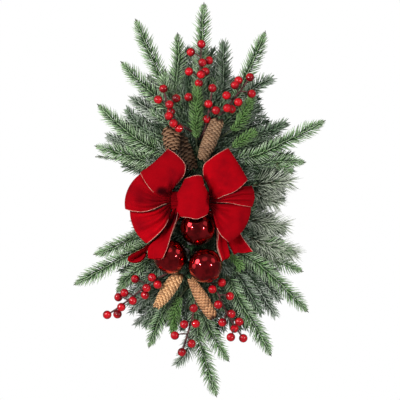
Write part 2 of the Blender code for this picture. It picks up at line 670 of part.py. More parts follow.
class Spray:
    """One needled shoot: a slim three-sided core with a needle raised on every other face."""

    def __init__(self, name, stalk, route, long_needles):
        self.name = name
        self.rng = random.Random(f"{SEED} {name}")
        self.needle = LONG_NEEDLE_LENGTH if long_needles else NEEDLE_LENGTH
        shoot = smooth_route(route, NEEDLE_STEP)
        self.points = stalk + shoot[(1 if stalk else 0):]
        self.first = len(stalk)
        total = len(self.points)
        taper = CORE_RADIUS - CORE_TIP_RADIUS
        self.radii = [CORE_RADIUS - taper * max(0, i - self.first) / (total - self.first)
                      for i in range(total)]
        self.frames = frames_along(self.points)
        self.tip = self.points[-1]

    def core_rods(self):
        return [(a, b, ra, rb) for a, b, ra, rb in
                zip(self.points, self.points[1:], self.radii, self.radii[1:])]

    def ring(self, i):
        _, side, up = self.frames[i]
        turn = math.pi / CORE_SIDES * (i % 2)
        return [self.points[i] + self.radii[i] * (math.cos(turn + 2 * math.pi * k / CORE_SIDES) * side
                                                  + math.sin(turn + 2 * math.pi * k / CORE_SIDES) * up)
                for k in range(CORE_SIDES)]

    def needle_tip(self, i, corners, attempt):
        """Where a needle that stands on these corners would end."""
        base = (corners[0] + corners[1] + corners[2]) / 3
        ahead = self.frames[i][0]
        outward = base - self.points[i]
        outward = (outward - ahead * outward.dot(ahead)).normalized()
        along = (i - self.first) / max(1, len(self.points) - 1 - self.first)
        lean = NEEDLE_LEAN + (NEEDLE_TIP_LEAN - NEEDLE_LEAN) * along ** 4
        lean += self.rng.uniform(-1, 1) * NEEDLE_JITTER * (1 + attempt)
        outward.rotate(Matrix.Rotation(self.rng.uniform(-1, 1) * NEEDLE_JITTER * (1 + attempt), 3, ahead))
        length = self.needle * self.rng.uniform(0.9, 1.05) * (1 - 0.14 * attempt)
        if self.needle == LONG_NEEDLE_LENGTH:
            length *= 1 - 0.35 * along
        return base, base + length * (math.cos(lean) * ahead + math.sin(lean) * outward)

    def build(self, surroundings):
        """Verts and faces, with a needle wherever one stays clear of everything in place."""
        verts, faces, rods = [], [], []
        last = len(self.points) - 2
        for i in range(last + 1):
            verts += self.ring(i)
        n = CORE_SIDES
        faces.append(tuple(reversed(range(n))))
        for i in range(last):
            for k in range(n):
                shift = i % 2
                a = i * n + k
                b = i * n + (k + 1) % n
                ahead = (i + 1) * n + (k + shift) % n
                behind = (i + 1) * n + (k + shift - 1) % n
                faces.append((a, ahead, behind))
                tip = None
                if i >= self.first:
                    corners = [verts[a], verts[b], verts[ahead]]
                    for attempt in range(4):
                        base, end = self.needle_tip(i, corners, attempt)
                        if end.y < -1.5 and surroundings.is_clear(base, end, NEEDLE_ROOT_RADIUS, 0.1, self.name):
                            tip = end
                            break
                if tip is None:
                    faces.append((a, b, ahead))
                    continue
                rods.append((base, tip, NEEDLE_ROOT_RADIUS, 0.1))
                verts_tip = ("tip", len(rods) - 1)
                faces += [(a, b, verts_tip), (b, ahead, verts_tip), (ahead, a, verts_tip)]
        first_tip = len(verts) + 1
        verts.append(self.tip)
        for k in range(n):
            faces.append((last * n + k, last * n + (k + 1) % n, len(verts) - 1))
        verts += [rod[1] for rod in rods]
        faces = [tuple(first_tip + v[1] if isinstance(v, tuple) else v for v in face) for face in faces]
        surroundings.add_rods(rods, self.name)
        return verts, faces


def plan_branches(branches):
    """The sprays of every branch. The second and later ones fork off the first one's stalk."""
    plans = {}
    for name, branch in branches.items():
        sprays = []
        for number, route in enumerate(branch["sprays"]):
            if number == 0:
                whole = stalk_route(branch["root"], branch["stalk"] + route, STALK_STEP)
                nearest = min(range(len(whole)), key=lambda i: (whole[i] - Vector(route[0])).length)
                stalk = whole[:nearest + 1]
            else:
                target = Vector(route[0])
                leader = sprays[0].points
                fork = min(range(2, len(leader) - 3), key=lambda i: (leader[i] - target).length + 0.02 * i)
                ahead = (target - leader[fork]).normalized()
                stalk = smooth_route([leader[fork], leader[fork] + ahead * 4, target], STALK_STEP)
            sprays.append(Spray(f"{name}_{number}", stalk, route, branch.get("long", False)))
        plans[name] = (branch["finish"], sprays)
    return plans


def make_branches(plans, surroundings):
    for _, sprays in plans.values():
        for spray in sprays:
            surroundings.add_rods(spray.core_rods(), spray.name)
    for name, (finish, sprays) in plans.items():
        union(name, [spray.build(surroundings) for spray in sprays], finish)


def ball_profile(radius, rings):
    return [((1 - math.cos(math.pi * i / rings)) / 2, radius * math.sin(math.pi * i / rings))
            for i in range(rings + 1)]


def make_berry_pick(name, pick, surroundings):
    """A wire stem with a berry on its end and on each of its stalks."""
    stem = stalk_route(pick["root"], pick["route"], STALK_STEP)
    pieces = [tube(stem, [PICK_RADIUS] * len(stem), 4)]
    fine = stalk_route(pick["root"], pick["route"], 3.0)
    for place in pick["berries"]:
        berry = Vector(place)
        nearest = min(range(len(fine)), key=lambda i: (fine[i] - berry).length)
        start = fine[max(4, nearest - round(STALK_LEAN_BACK / 3.0))]
        pieces.append(tube([start, berry], [STALK_RADIUS] * 2, 3))
    for place in pick["berries"] + [pick["route"][-1]]:
        centre = Vector(place)
        tilt = Vector((0.3, -1, 0.4)).normalized() * BERRY_RADIUS
        pieces.append(lathe(centre - tilt, centre + tilt, ball_profile(BERRY_RADIUS, BERRY_RINGS), BERRY_SEGMENTS))
    surroundings.add_surface(union(name, pieces, "berry_red", smooth=True))


def make_cone(name, cone, surroundings):
    """A long pine cone: staggered rows of raised scales round a tapered body, with its wire."""
    base, tip = Vector(cone["base"]), Vector(cone["tip"])
    axis = tip - base
    ahead, side, up = frames_along([base, tip])[0]
    verts, faces = [base], []
    n = CONE_COLUMNS
    for row in range(CONE_ROWS):
        for edge in (0, 1):
            share = (row + 0.18 + 0.72 * edge) / CONE_ROWS
            belly = math.sin(math.pi * (0.10 + 0.84 * share)) ** 0.42 * (1 - cone["taper"] * share)
            for k in range(n):
                angle = 2 * math.pi * k / n
                stagger = math.cos(n / 2 * angle + math.pi * row)
                rise = 1 - CONE_SCALE_RISE + CONE_SCALE_RISE * (0.9 + 0.5 * stagger) * (1 - edge)
                slip = 0.045 * stagger * (1 - edge)
                reach = cone["radius"] * belly * rise
                verts.append(base + axis * (share - slip) + reach * (math.cos(angle) * side + math.sin(angle) * up))
    verts.append(tip)
    for k in range(n):
        m = (k + 1) % n
        faces.append((0, 1 + m, 1 + k))
        for ring in range(2 * CONE_ROWS - 1):
            a, b = 1 + ring * n + k, 1 + ring * n + m
            faces.append((a, b, b + n, a + n))
        faces.append((len(verts) - 1 - n + k, len(verts) - 1 - n + m, len(verts) - 1))
    end = base if cone["tied"] == "base" else tip
    inside = end + (tip - end + base - end) * 0.12
    outside = end - (inside - end) * 0.6
    wire = stalk_route(cone["root"], [outside, inside], STALK_STEP)
    pieces = [(verts, faces), tube(wire, [CONE_WIRE_RADIUS] * len(wire), 4)]
    surroundings.add_surface(union(name, pieces, "cone_brown", smooth=False))


def make_ball(place, ball, surroundings):
    """A ball with a short neck, and the metal cap on the neck."""
    centre, out = Vector(ball["centre"]), Vector(ball["cap_to"]).normalized()
    neck_share = 1 + NECK_RISE / (2 * BALL_RADIUS)
    profile = ball_profile(BALL_RADIUS, BALL_RINGS)[:-1]
    profile += [(0.994, NECK_RADIUS), (neck_share, NECK_RADIUS), (neck_share, 0)]
    body = lathe(centre - out * BALL_RADIUS, centre + out * BALL_RADIUS, profile, BALL_SEGMENTS)
    surroundings.add_surface(add_object(f"ball_{place}", *body, "ball_red", smooth=True))

    foot = centre + out * (BALL_RADIUS + NECK_RISE + SEAT_GAP)
    top = foot + out * CAP_HEIGHT
    cap = lathe(foot, top, [(0, 0), (0, CAP_RADIUS), (0.8, CAP_RADIUS), (1, CAP_RADIUS - 1), (1, 0)], 10)
    _, side, up = frames_along([foot, top])[0]
    lug_centre = top + out * LUG_RISE
    lug = lathe(lug_centre - side * 0.8, lug_centre + side * 0.8,
                [(0, 0), (0, CAP_LUG_RADIUS), (1, CAP_LUG_RADIUS), (1, 0)], 8)
    surroundings.add_surface(union(f"ball_cap_{place}", [cap, lug], "cap_silver", smooth=True))


def make_ball_wire(surroundings):
    """The twisted wire from the stem, with an arm to the lug on each ball's cap."""
    trunk = stalk_route(BALL_WIRE_ROUTE[0], BALL_WIRE_ROUTE[1:], 6.0)
    pieces = [tube(trunk, [BALL_WIRE_RADIUS] * len(trunk), 6)]
    reach = BALL_RADIUS + NECK_RISE + SEAT_GAP + CAP_HEIGHT + LUG_RISE + CAP_LUG_RADIUS + SEAT_GAP
    for ball in BALLS.values():
        out = Vector(ball["cap_to"]).normalized()
        hook = Vector(ball["centre"]) + out * reach
        pieces.append(tube([trunk[-2], hook + out * 4, hook], [BALL_WIRE_RADIUS * 0.8] * 3, 5))
    surroundings.add_surface(union("ball_wire", pieces, "green_wire", smooth=True))


def ribbon_solid(rows):
    """A thin closed strip round a grid of points; rows run across the ribbon."""
    count, width = len(rows), len(rows[0])
    normals = []
    for i in range(count):
        line = []
        for j in range(width):
            along = rows[min(i + 1, count - 1)][j] - rows[max(i - 1, 0)][j]
            across = rows[i][min(j + 1, width - 1)] - rows[i][max(j - 1, 0)]
            line.append(along.cross(across).normalized())
        normals.append(line)
    half = RIBBON_THICKNESS / 2
    verts = [rows[i][j] + normals[i][j] * half for i in range(count) for j in range(width)]
    verts += [rows[i][j] - normals[i][j] * half for i in range(count) for j in range(width)]
    back = count * width
    faces = []
    for i in range(count - 1):
        for j in range(width - 1):
            a, b = i * width + j, i * width + j + 1
            c, d = b + width, a + width
            faces += [(a, b, c), (a, c, d)]
            faces += [(back + c, back + b, back + a), (back + d, back + c, back + a)]
    border = [i * width for i in range(count)] + [(count - 1) * width + j for j in range(1, width)]
    border += [i * width + width - 1 for i in range(count - 2, -1, -1)] + list(range(width - 2, 0, -1))
    for a, b in zip(border, border[1:] + border[:1]):
        faces.append((a, b, back + b, back + a))
    return verts, faces


def even_points(points, count):
    """Points evenly spaced by length on a smooth curve through the given ones."""
    fine = smooth_route(points, 1.0)
    lengths = [0.0]
    for a, b in zip(fine, fine[1:]):
        lengths.append(lengths[-1] + (b - a).length)
    found = []
    for k in range(count):
        want = lengths[-1] * k / (count - 1)
        i = min(len(fine) - 2, sum(1 for length in lengths[1:] if length < want))
        share = (want - lengths[i]) / max(1e-9, lengths[i + 1] - lengths[i])
        found.append(fine[i].lerp(fine[i + 1], share))
    return found


def make_loop(name, loop, surroundings):
    """A puffed loop: out along its front layer to the fold and back along its back layer."""
    steps, across = 12, 3
    edges = [even_points([(x, 0, z) for x, z in loop[key]], 41) for key in ("edge_a", "edge_b")]
    puffs = (TUCKED_PUFF if loop["tucked"] else LOOP_PUFF, LOOP_PUFF)
    rows = []
    for i in range(steps + 1):
        turn = 2 * i / steps
        layer = -1 if turn < 1 else 1
        v = turn if turn < 1 else 2 - turn
        reach = math.sin(math.pi * v / 2)
        row = []
        for j in range(across + 1):
            w = j / across
            a, b = edges[0][round(40 * reach)], edges[1][round(40 * reach)]
            flat = a.lerp(b, w)
            outward = (flat - edges[0][0].lerp(edges[1][0], w))
            if outward.length > 0:
                flat = flat + outward.normalized() * loop["bulge"] * 4 * w * (1 - w) * reach ** 2
            settle = min(1.0, reach / 0.45)
            depth = BOW_GATHER_DEPTH + (BOW_LOOP_DEPTH - BOW_GATHER_DEPTH) * settle * settle * (3 - 2 * settle)
            puff = puffs[0] + (puffs[1] - puffs[0]) * w
            half = puff / 2 * math.sin(math.pi * v) + GATHER_HALF_GAP * math.cos(math.pi * v / 2)
            row.append(Vector((flat.x, depth + layer * half, flat.z)))
        rows.append(row)
    surroundings.add_surface(add_object(name, *ribbon_solid(rows), "velvet_red", smooth=True))


def make_ribbon(name, ribbon, surroundings):
    steps, across = ribbon.get("steps", 12), 3
    first, second = even_points(ribbon["edge_a"], steps + 1), even_points(ribbon["edge_b"], steps + 1)
    rows = [[a.lerp(b, j / across) for j in range(across + 1)] for a, b in zip(first, second)]
    middle = sum((a.x + b.x) / 2 for a, b in zip(first, second)) / len(first)
    for row in rows:
        for j, point in enumerate(row):
            share = j / across
            side = max(-1.0, min(1.0, (point.x - middle) / CENTRE_LOOP_HALF_WIDTH))
            out = min(1.0, max(0.0, (BOW_GATHER_DEPTH - CENTRE_LOOP_FOOT - point.y) / CENTRE_LOOP_RISE))
            point.x += ribbon.get("bulge", 0) * side * out * 4 * share * (1 - share)
    surroundings.add_surface(add_object(name, *ribbon_solid(rows), "velvet_red", smooth=True))


def make_bow_tie(surroundings):
    """The bunched ribbon at the middle of the bow, and the wire that holds it to the stem."""
    verts, faces = [], []
    sides = 10
    for x, size in TIE_SECTIONS:
        for k in range(sides):
            angle = 2 * math.pi * (k + 0.5) / sides
            verts.append(Vector((x, BOW_GATHER_DEPTH + size * TIE_HALF_DEPTH * math.cos(angle),
                                 TIE_HEIGHT + size * TIE_HALF_HEIGHT * math.sin(angle))))
    for i in range(2):
        for k in range(sides):
            a, b = i * sides + k, i * sides + (k + 1) % sides
            faces.append((a, b, b + sides, a + sides))
    faces += [tuple(reversed(range(sides))), tuple(range(2 * sides, 3 * sides))]
    start, out = seat((0, -STEM_DEPTH, TIE_HEIGHT))
    wire = [start, start + out * 8, Vector((-2, BOW_GATHER_DEPTH + 2, TIE_HEIGHT))]
    surroundings.add_surface(union("bow_tie", [(verts, faces), tube(wire, [2.0] * 3, 5)], "velvet_red"))


def build():
    clear_scene()
    surroundings = Surroundings()
    make_stem(surroundings)
    make_hanging_loop(surroundings)
    make_bow_tie(surroundings)
    for name, loop in BOW_LOOPS.items():
        make_loop(name, loop, surroundings)
    for name, ribbon in RIBBONS.items():
        make_ribbon(name, ribbon, surroundings)
    for place, ball in BALLS.items():
        make_ball(place, ball, surroundings)
    make_ball_wire(surroundings)
    for name, cone in CONES.items():
        make_cone(name, cone, surroundings)
    for name, pick in BERRY_PICKS.items():
        make_berry_pick(name, pick, surroundings)
    plans = plan_branches({**FRONT_BRANCHES, **BACK_BRANCHES})
    make_branches(plans, surroundings)


build()
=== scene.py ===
import math

import bpy
import numpy as np
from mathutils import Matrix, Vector


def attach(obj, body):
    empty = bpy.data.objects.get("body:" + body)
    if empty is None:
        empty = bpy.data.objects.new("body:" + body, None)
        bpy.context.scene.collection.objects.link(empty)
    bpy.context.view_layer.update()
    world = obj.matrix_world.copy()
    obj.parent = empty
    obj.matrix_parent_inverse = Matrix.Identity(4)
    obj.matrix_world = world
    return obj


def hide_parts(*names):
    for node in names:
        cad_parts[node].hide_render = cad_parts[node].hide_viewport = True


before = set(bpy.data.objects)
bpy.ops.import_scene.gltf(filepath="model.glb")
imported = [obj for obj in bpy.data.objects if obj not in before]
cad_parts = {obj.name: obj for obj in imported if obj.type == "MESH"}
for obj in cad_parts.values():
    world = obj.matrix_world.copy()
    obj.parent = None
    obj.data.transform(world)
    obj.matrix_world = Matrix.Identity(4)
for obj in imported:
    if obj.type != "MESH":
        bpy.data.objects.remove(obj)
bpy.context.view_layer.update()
print("frame loaded:", len(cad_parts), "nodes")

cameraLook = {"centre": (1.5, -35.0, -0.75), "distance": 3000.0, "seen": 600.0, "sensor": 36.0}
# lights are white unless they have a tint; only those with gloss are mirrored by the pieces
lights = {
    "key": {"at": (-750, -1950, 560), "size": 800, "power": 40, "tint": (1.0, 0.98, 0.95)},
    "fill": {"at": (500, -1900, -450), "size": 1500, "power": 22, "tint": (0.97, 0.98, 1.0)},
    "behind": {"at": (500, 2100, 500), "size": 1500, "power": 30},
    "spotLeft": {"at": (-1085, -1580, 200), "size": 110, "power": 15.0, "gloss": True},
    "spotRight": {"at": (1250, -1540, 60), "size": 95, "power": 10.0, "gloss": True},
    "window": {"at": (-1520, -920, 700), "size": 950, "power": 13.0, "tint": (1.0, 0.92, 0.95),
               "gloss": True},
    "panelLeft": {"at": (-1900, -250, -100), "size": 1100, "power": 2.4, "tint": (1.0, 0.9, 0.92),
                  "gloss": True},
    "panelRight": {"at": (1500, -900, 900), "size": 1000, "power": 1.6, "tint": (1.0, 0.9, 0.95),
                   "gloss": True},
    "panelAbove": {"at": (-150, -1500, 1500), "size": 1300, "power": 1.8, "tint": (1.0, 0.95, 0.95),
                   "gloss": True},
}
lightsAim = (0, -40, 0)
worldLook = {"backdrop": (1.0, 1.0, 1.0), "seenStrength": 1.0, "lightStrength": 0.34, "glossStrength": 0.15}
floorLook = {"height": -1500.0, "half": 6000.0, "colour": (0.86, 0.86, 0.85), "roughness": 0.9}


def mm(points):
    return np.asarray(points, float) * 0.001


def addObject(name, data):
    ob = bpy.data.objects.new(name, data)
    bpy.context.scene.collection.objects.link(ob)
    return ob


# Camera, lights and world

def makeCamera(look):
    data = bpy.data.cameras.new("camera")
    data.sensor_width = look["sensor"]
    data.lens = look["sensor"] * look["distance"] / look["seen"]
    data.clip_end = 100
    ob = addObject("camera", data)
    ob.location = mm(look["centre"]) - mm((0, look["distance"], 0))
    ob.rotation_euler = (math.pi / 2, 0, 0)
    bpy.context.scene.camera = ob


def makeLights():
    for name, look in lights.items():
        data = bpy.data.lights.new(name, "AREA")
        data.shape = "DISK"
        data.size = look["size"] * 0.001
        data.energy = look["power"]
        data.color = look.get("tint", (1.0, 1.0, 1.0))
        ob = addObject(name, data)
        ob.location = mm(look["at"])
        ob.rotation_euler = Vector(mm(lightsAim) - mm(look["at"])).to_track_quat("-Z", "Y").to_euler()
        ob.visible_glossy = look.get("gloss", False)
        ob.visible_camera = False


def makeWorld(look):
    world = bpy.data.worlds.new("studio")
    bpy.context.scene.world = world
    world.use_nodes = True
    tree = world.node_tree
    tree.nodes.clear()
    rays = node(tree, "LightPath").outputs
    lit, gloss, seen = (node(tree, "Background", Color=look["backdrop"], Strength=look[key]).outputs[0]
                        for key in ("lightStrength", "glossStrength", "seenStrength"))
    for ray, other in (("Is Glossy Ray", gloss), ("Is Camera Ray", seen)):
        made = node(tree, "MixShader", Fac=rays[ray])
        tree.links.new(lit, made.inputs[1])
        tree.links.new(other, made.inputs[2])
        lit = made.outputs[0]
    node(tree, "OutputWorld", Surface=lit)


# Shader nodes: a value is a constant or another node's output

def setSocket(tree, socket, value):
    if isinstance(value, bpy.types.NodeSocket):
        tree.links.new(value, socket)
    else:
        socket.default_value = (*value, 1) if socket.type == "RGBA" else value


# Sets a node's inputs by name, with _ for a space.
def feed(tree, made, **inputs):
    for name, value in inputs.items():
        setSocket(tree, made.inputs[name.replace("_", " ")], value)
    return made


def node(tree, kind, **inputs):
    return feed(tree, tree.nodes.new("ShaderNode" + kind), **inputs)


def mix(tree, share, a, b):
    made = node(tree, "Mix")
    made.data_type = "RGBA"
    for i, value in ((0, share), (6, a), (7, b)):
        setSocket(tree, made.inputs[i], value)
    return made.outputs[2]


def math2(tree, operation, a, b):
    made = node(tree, "Math")
    made.operation = operation
    for i, value in enumerate((a, b)):
        setSocket(tree, made.inputs[i], value)
    return made.outputs[0]


def times(tree, a, b):
    return math2(tree, "MULTIPLY", a, b)


def plus(tree, a, b):
    return math2(tree, "ADD", a, b)


def ramp(tree, value, low, high, toLow=0.0, toHigh=1.0):
    made = node(tree, "MapRange", Value=value, From_Min=low, From_Max=high, To_Min=toLow, To_Max=toHigh)
    made.interpolation_type = "SMOOTHSTEP"
    return made.outputs[0]


def attribute(tree, name):
    made = node(tree, "Attribute")
    made.attribute_name = name
    return made.outputs["Fac"]


def noise(tree, scale, detail=3.0, where=None):
    where = where or node(tree, "TexCoord").outputs["Object"]
    return node(tree, "TexNoise", Scale=scale, Detail=detail, Vector=where).outputs["Fac"]


# A group that puts out a colour, a roughness and a height.
def newGroup(name, **kinds):
    tree = bpy.data.node_groups.new(name, "ShaderNodeTree")
    for label, kind in kinds.items():
        tree.interface.new_socket(label, in_out="INPUT", socket_type="NodeSocket" + kind)
    for label, kind in (("Color", "Color"), ("Roughness", "Float"), ("Height", "Float")):
        tree.interface.new_socket(label, in_out="OUTPUT", socket_type="NodeSocket" + kind)
    return tree, tree.nodes.new("NodeGroupInput").outputs, tree.nodes.new("NodeGroupOutput")


# Colour of a moulded needle: darker at its root as painted shade, paler at its tip, dusted with frost,
# and darker where its shade mark is low, which holds random tone and painted shade.
def needleTintGroup():
    tree, given, out = newGroup("needleTint", deep="Color", fresh="Color", tip="Color", frost="Color",
                                frostAmount="Float", tipAmount="Float")
    along, shade, frost = (attribute(tree, n) for n in ("along", "shade", "frost"))
    blotch = noise(tree, 60.0, 2.0)
    grain = noise(tree, 1400.0, 2.0)
    fresh = plus(tree, times(tree, shade, 0.75), times(tree, blotch, 0.35))
    body = mix(tree, ramp(tree, fresh, 0.1, 0.95), given["deep"], given["fresh"])
    body = mix(tree, times(tree, ramp(tree, along, 0.25, 1.0), given["tipAmount"]), body, given["tip"])
    body = mix(tree, ramp(tree, along, 0.42, 0.0, 0.0, 0.85), body, given["deep"])
    dust = times(tree, ramp(tree, grain, 0.32, 0.62, 0.35, 1.0), frost)
    dust = times(tree, dust, given["frostAmount"])
    dust = times(tree, dust, ramp(tree, along, 0.05, 0.55, 0.20, 1.0))
    feed(tree, out, Color=mix(tree, dust, body, given["frost"]), Height=grain,
         Roughness=ramp(tree, dust, 0.0, 0.7, 0.48, 0.85))
    return tree


# Uneven colour and fine relief that the dry and wrapped finishes share.
def grainGroup():
    tree, given, out = newGroup("fineGrain", light="Color", dark="Color", patch="Float", fine="Float",
                                stretch="Vector")
    place = node(tree, "TexCoord").outputs["Object"]
    where = node(tree, "Mapping", Vector=place, Scale=given["stretch"]).outputs[0]
    patch, fine = (noise(tree, given[key], where=where) for key in ("patch", "fine"))
    both = plus(tree, times(tree, patch, 0.6), times(tree, fine, 0.4))
    colour = mix(tree, ramp(tree, both, 0.36, 0.64), given["dark"], given["light"])
    feed(tree, out, Color=colour, Height=fine, Roughness=ramp(tree, fine, 0.3, 0.7, 0.65, 0.9))
    return tree


groups = {"needleTint": needleTintGroup(), "fineGrain": grainGroup()}


# Materials

def newMaterial(name):
    mat = bpy.data.materials.new(name)
    mat.use_nodes = True
    tree = mat.node_tree
    return mat, tree, next(n for n in tree.nodes if n.type == "BSDF_PRINCIPLED")


# distance is in millimetres
def addBump(tree, shader, height, strength, distance):
    bump = node(tree, "Bump", Strength=strength, Distance=distance * 0.001, Height=height)
    feed(tree, shader, Normal=bump.outputs[0])


def groupMaterial(name, group, bump, distance, **inputs):
    mat, tree, shader = newMaterial(name)
    made = node(tree, "Group")
    made.node_tree = groups[group]
    feed(tree, made, **inputs)
    feed(tree, shader, Base_Color=made.outputs["Color"], Roughness=made.outputs["Roughness"])
    addBump(tree, shader, made.outputs["Height"], bump, distance)
    return mat, shader


needleFinishes = {
    "green": {"deep": (0.008, 0.032, 0.008), "fresh": (0.082, 0.198, 0.048), "tip": (0.33, 0.47, 0.24),
              "frost": (0.88, 0.94, 0.84), "frostAmount": 0.74, "tipAmount": 0.42},
    "bright": {"deep": (0.004, 0.020, 0.003), "fresh": (0.030, 0.100, 0.011), "tip": (0.17, 0.33, 0.09),
               "frost": (0.52, 0.66, 0.36), "frostAmount": 0.36, "tipAmount": 0.56},
    "dark": {"deep": (0.004, 0.017, 0.007), "fresh": (0.046, 0.106, 0.036), "tip": (0.24, 0.33, 0.21),
             "frost": (0.84, 0.90, 0.82), "frostAmount": 0.68, "tipAmount": 0.36},
    "grey": {"deep": (0.008, 0.022, 0.012), "fresh": (0.076, 0.132, 0.064), "tip": (0.46, 0.53, 0.43),
             "frost": (0.97, 0.99, 0.95), "frostAmount": 0.92, "tipAmount": 0.45},
    "thin": {"deep": (0.010, 0.026, 0.012), "fresh": (0.085, 0.135, 0.068), "tip": (0.46, 0.52, 0.44),
             "frost": (0.95, 0.97, 0.93), "frostAmount": 0.85, "tipAmount": 0.50},
    "shadow": {"deep": (0.003, 0.011, 0.005), "fresh": (0.020, 0.054, 0.018), "tip": (0.08, 0.13, 0.07),
               "frost": (0.50, 0.56, 0.48), "frostAmount": 0.22, "tipAmount": 0.30},
    "long": {"deep": (0.004, 0.016, 0.005), "fresh": (0.026, 0.072, 0.018), "tip": (0.58, 0.65, 0.49),
             "frost": (0.98, 1.00, 0.91), "frostAmount": 0.98, "tipAmount": 0.50},
}


def needleMaterial(name, look):
    mat, shader = groupMaterial("needles_" + name, "needleTint", 0.25, 0.2, **look)
    shader.inputs["Specular IOR Level"].default_value = 0.35
    return mat


# patch and fine are the scales of the uneven colour and of the grain
grainFinishes = {
    "core": {"name": "spray_stem", "light": (0.050, 0.054, 0.024), "dark": (0.012, 0.020, 0.009),
             "patch": 120.0, "fine": 1200.0},
    "coreBrown": {"name": "twisted_stem", "light": (0.20, 0.125, 0.055), "dark": (0.040, 0.028, 0.014),
                  "patch": 200.0, "fine": 1200.0},
    "wireEdge": {"name": "wired_edge", "light": (0.56, 0.27, 0.21), "dark": (0.30, 0.07, 0.06),
                 "patch": 260.0, "fine": 1600.0, "metallic": 0.30},
    "cap": {"name": "bright_cap", "light": (0.80, 0.80, 0.80), "dark": (0.60, 0.60, 0.60), "patch": 200.0,
            "fine": 900.0, "bump": 0.1, "metallic": 1.0},
    "pick": {"name": "pick_wrap", "light": (0.085, 0.026, 0.026), "dark": (0.022, 0.009, 0.009),
             "patch": 160.0, "fine": 900.0},
    "tape": {"name": "stem_tape_wrap", "light": (0.030, 0.060, 0.024), "dark": (0.010, 0.024, 0.009),
             "patch": 45.0, "fine": 500.0, "stretch": (1.0, 1.0, 3.0)},
    "wire": {"name": "green_wire_coat", "light": (0.045, 0.105, 0.045), "dark": (0.020, 0.050, 0.020),
             "patch": 200.0, "fine": 900.0},
}


def grainMaterial(name, bump=0.4, metallic=0.0, stretch=(1.0, 1.0, 1.0), **look):
    mat, shader = groupMaterial(name, "fineGrain", bump, 0.3, stretch=stretch, **look)
    shader.inputs["Metallic"].default_value = metallic
    return mat


# tied is the painted shadow colour, which the pile takes where a piece's shade mark is 0
velvetLook = {"pile": (0.250, 0.0, 0.0025), "shadow": (0.118, 0.0, 0.002), "tied": (0.010, 0.0, 0.001),
              "brushed": 38.0, "nap": 2600.0, "sheen": 0.22, "sheenTint": (1.0, 0.01, 0.03)}


def velvetMaterial(look):
    mat, tree, shader = newMaterial("red_velvet")
    brushed, nap = noise(tree, look["brushed"], 4.0), noise(tree, look["nap"], 2.0)
    share = plus(tree, times(tree, brushed, 0.7), times(tree, nap, 0.3))
    pile = mix(tree, ramp(tree, share, 0.25, 0.60), look["shadow"], look["pile"])
    # painted shade: the shade mark mixes the pile towards the painted shadow colour tied
    feed(tree, shader, Base_Color=mix(tree, attribute(tree, "shade"), look["tied"], pile),
         Roughness=ramp(tree, nap, 0.3, 0.7, 0.82, 1.0), Specular_IOR_Level=0.05, Sheen_Weight=look["sheen"],
         Sheen_Roughness=0.45, Sheen_Tint=look["sheenTint"])
    addBump(tree, shader, nap, 0.35, 0.2)
    return mat


ballLook = {"metal": (0.74, 0.012, 0.022), "thin": (0.30, 0.0, 0.002), "patch": 75.0,
            "roughness": (0.07, 0.168), "coat": 0.50, "coatRoughness": 0.10}


def ballMaterial(look):
    mat, tree, shader = newMaterial("mirror_red")
    metal = mix(tree, ramp(tree, noise(tree, look["patch"], 4.0), 0.38, 0.62), look["thin"], look["metal"])
    smear = noise(tree, 120.0)
    feed(tree, shader, Base_Color=metal, Roughness=ramp(tree, smear, 0.35, 0.75, *look["roughness"]),
         Metallic=1.0, Coat_Weight=look["coat"], Coat_Roughness=look["coatRoughness"])
    addBump(tree, shader, noise(tree, 110.0, 2.0), 0.16, 0.6)
    return mat


# along runs over a berry from its stalk to the blossom end; the berry is painted darker towards the stalk,
# as painted shade
berryLook = {"light": (0.335, 0.001, 0.005), "dark": (0.175, 0.0, 0.004), "stalk": (0.080, 0.0, 0.0015),
             "reach": (0.22, 0.80), "coat": 0.60, "coatRoughness": 0.14}


def berryMaterial(look):
    mat, tree, shader = newMaterial("berry_lacquer")
    skin = mix(tree, ramp(tree, noise(tree, 90.0), 0.3, 0.65), look["dark"], look["light"])
    # painted shade: the skin is mixed towards the dark stalk colour from the stalk end
    reach = ramp(tree, attribute(tree, "along"), *look["reach"])
    feed(tree, shader, Base_Color=mix(tree, reach, look["stalk"], skin), Coat_Weight=look["coat"],
         Roughness=ramp(tree, noise(tree, 400.0, 2.0), 0.3, 0.7, 0.16, 0.30),
         Coat_Roughness=look["coatRoughness"], Specular_IOR_Level=0.30)
    addBump(tree, shader, noise(tree, 300.0, 2.0), 0.03, 0.5)
    return mat


coneLook = {"dark": (0.050, 0.022, 0.010), "face": (0.28, 0.160, 0.084), "lip": (0.45, 0.325, 0.215)}
# how much lighter or darker each kind of cone is, as shares of red, green and blue; the darkest gains also
# paint shade on the upper middle cone, which lies in shadow
coneGains = {"coneLit": (0.41, 0.335, 0.285), "coneDarkInShade": (0.17, 0.145, 0.13),
             "coneUpper": (0.51, 0.46, 0.42), "coneLower": (1.20, 1.03, 0.79),
             "coneOrange": (0.97, 0.75, 0.58)}


# Each scale is dark at its root and pale along its lip, partly its own colour and partly painted shade
# between the scales and a painted highlight on the lip; along runs from root to lip. The core is painted
# dark as the shade between the scales.
def coneMaterial(name, look, gains):
    mat, tree, shader = newMaterial(name)
    along, shade = attribute(tree, "along"), attribute(tree, "shade")
    fine = noise(tree, 700.0, 4.0)
    tone = {key: tuple(c * gain for c, gain in zip(value, gains)) for key, value in look.items()}
    body = mix(tree, ramp(tree, along, 0.25, 0.8), tone["dark"], tone["face"])
    lip = ramp(tree, plus(tree, along, times(tree, fine, 0.12)), 0.86, 1.02)
    body = mix(tree, lip, body, tone["lip"])
    body = mix(tree, times(tree, ramp(tree, shade, 0.5, 1.0), 0.45), body, tone["dark"])
    feed(tree, shader, Base_Color=body, Roughness=ramp(tree, fine, 0.3, 0.7, 0.62, 0.9))
    addBump(tree, shader, fine, 0.4, 0.4)
    return mat


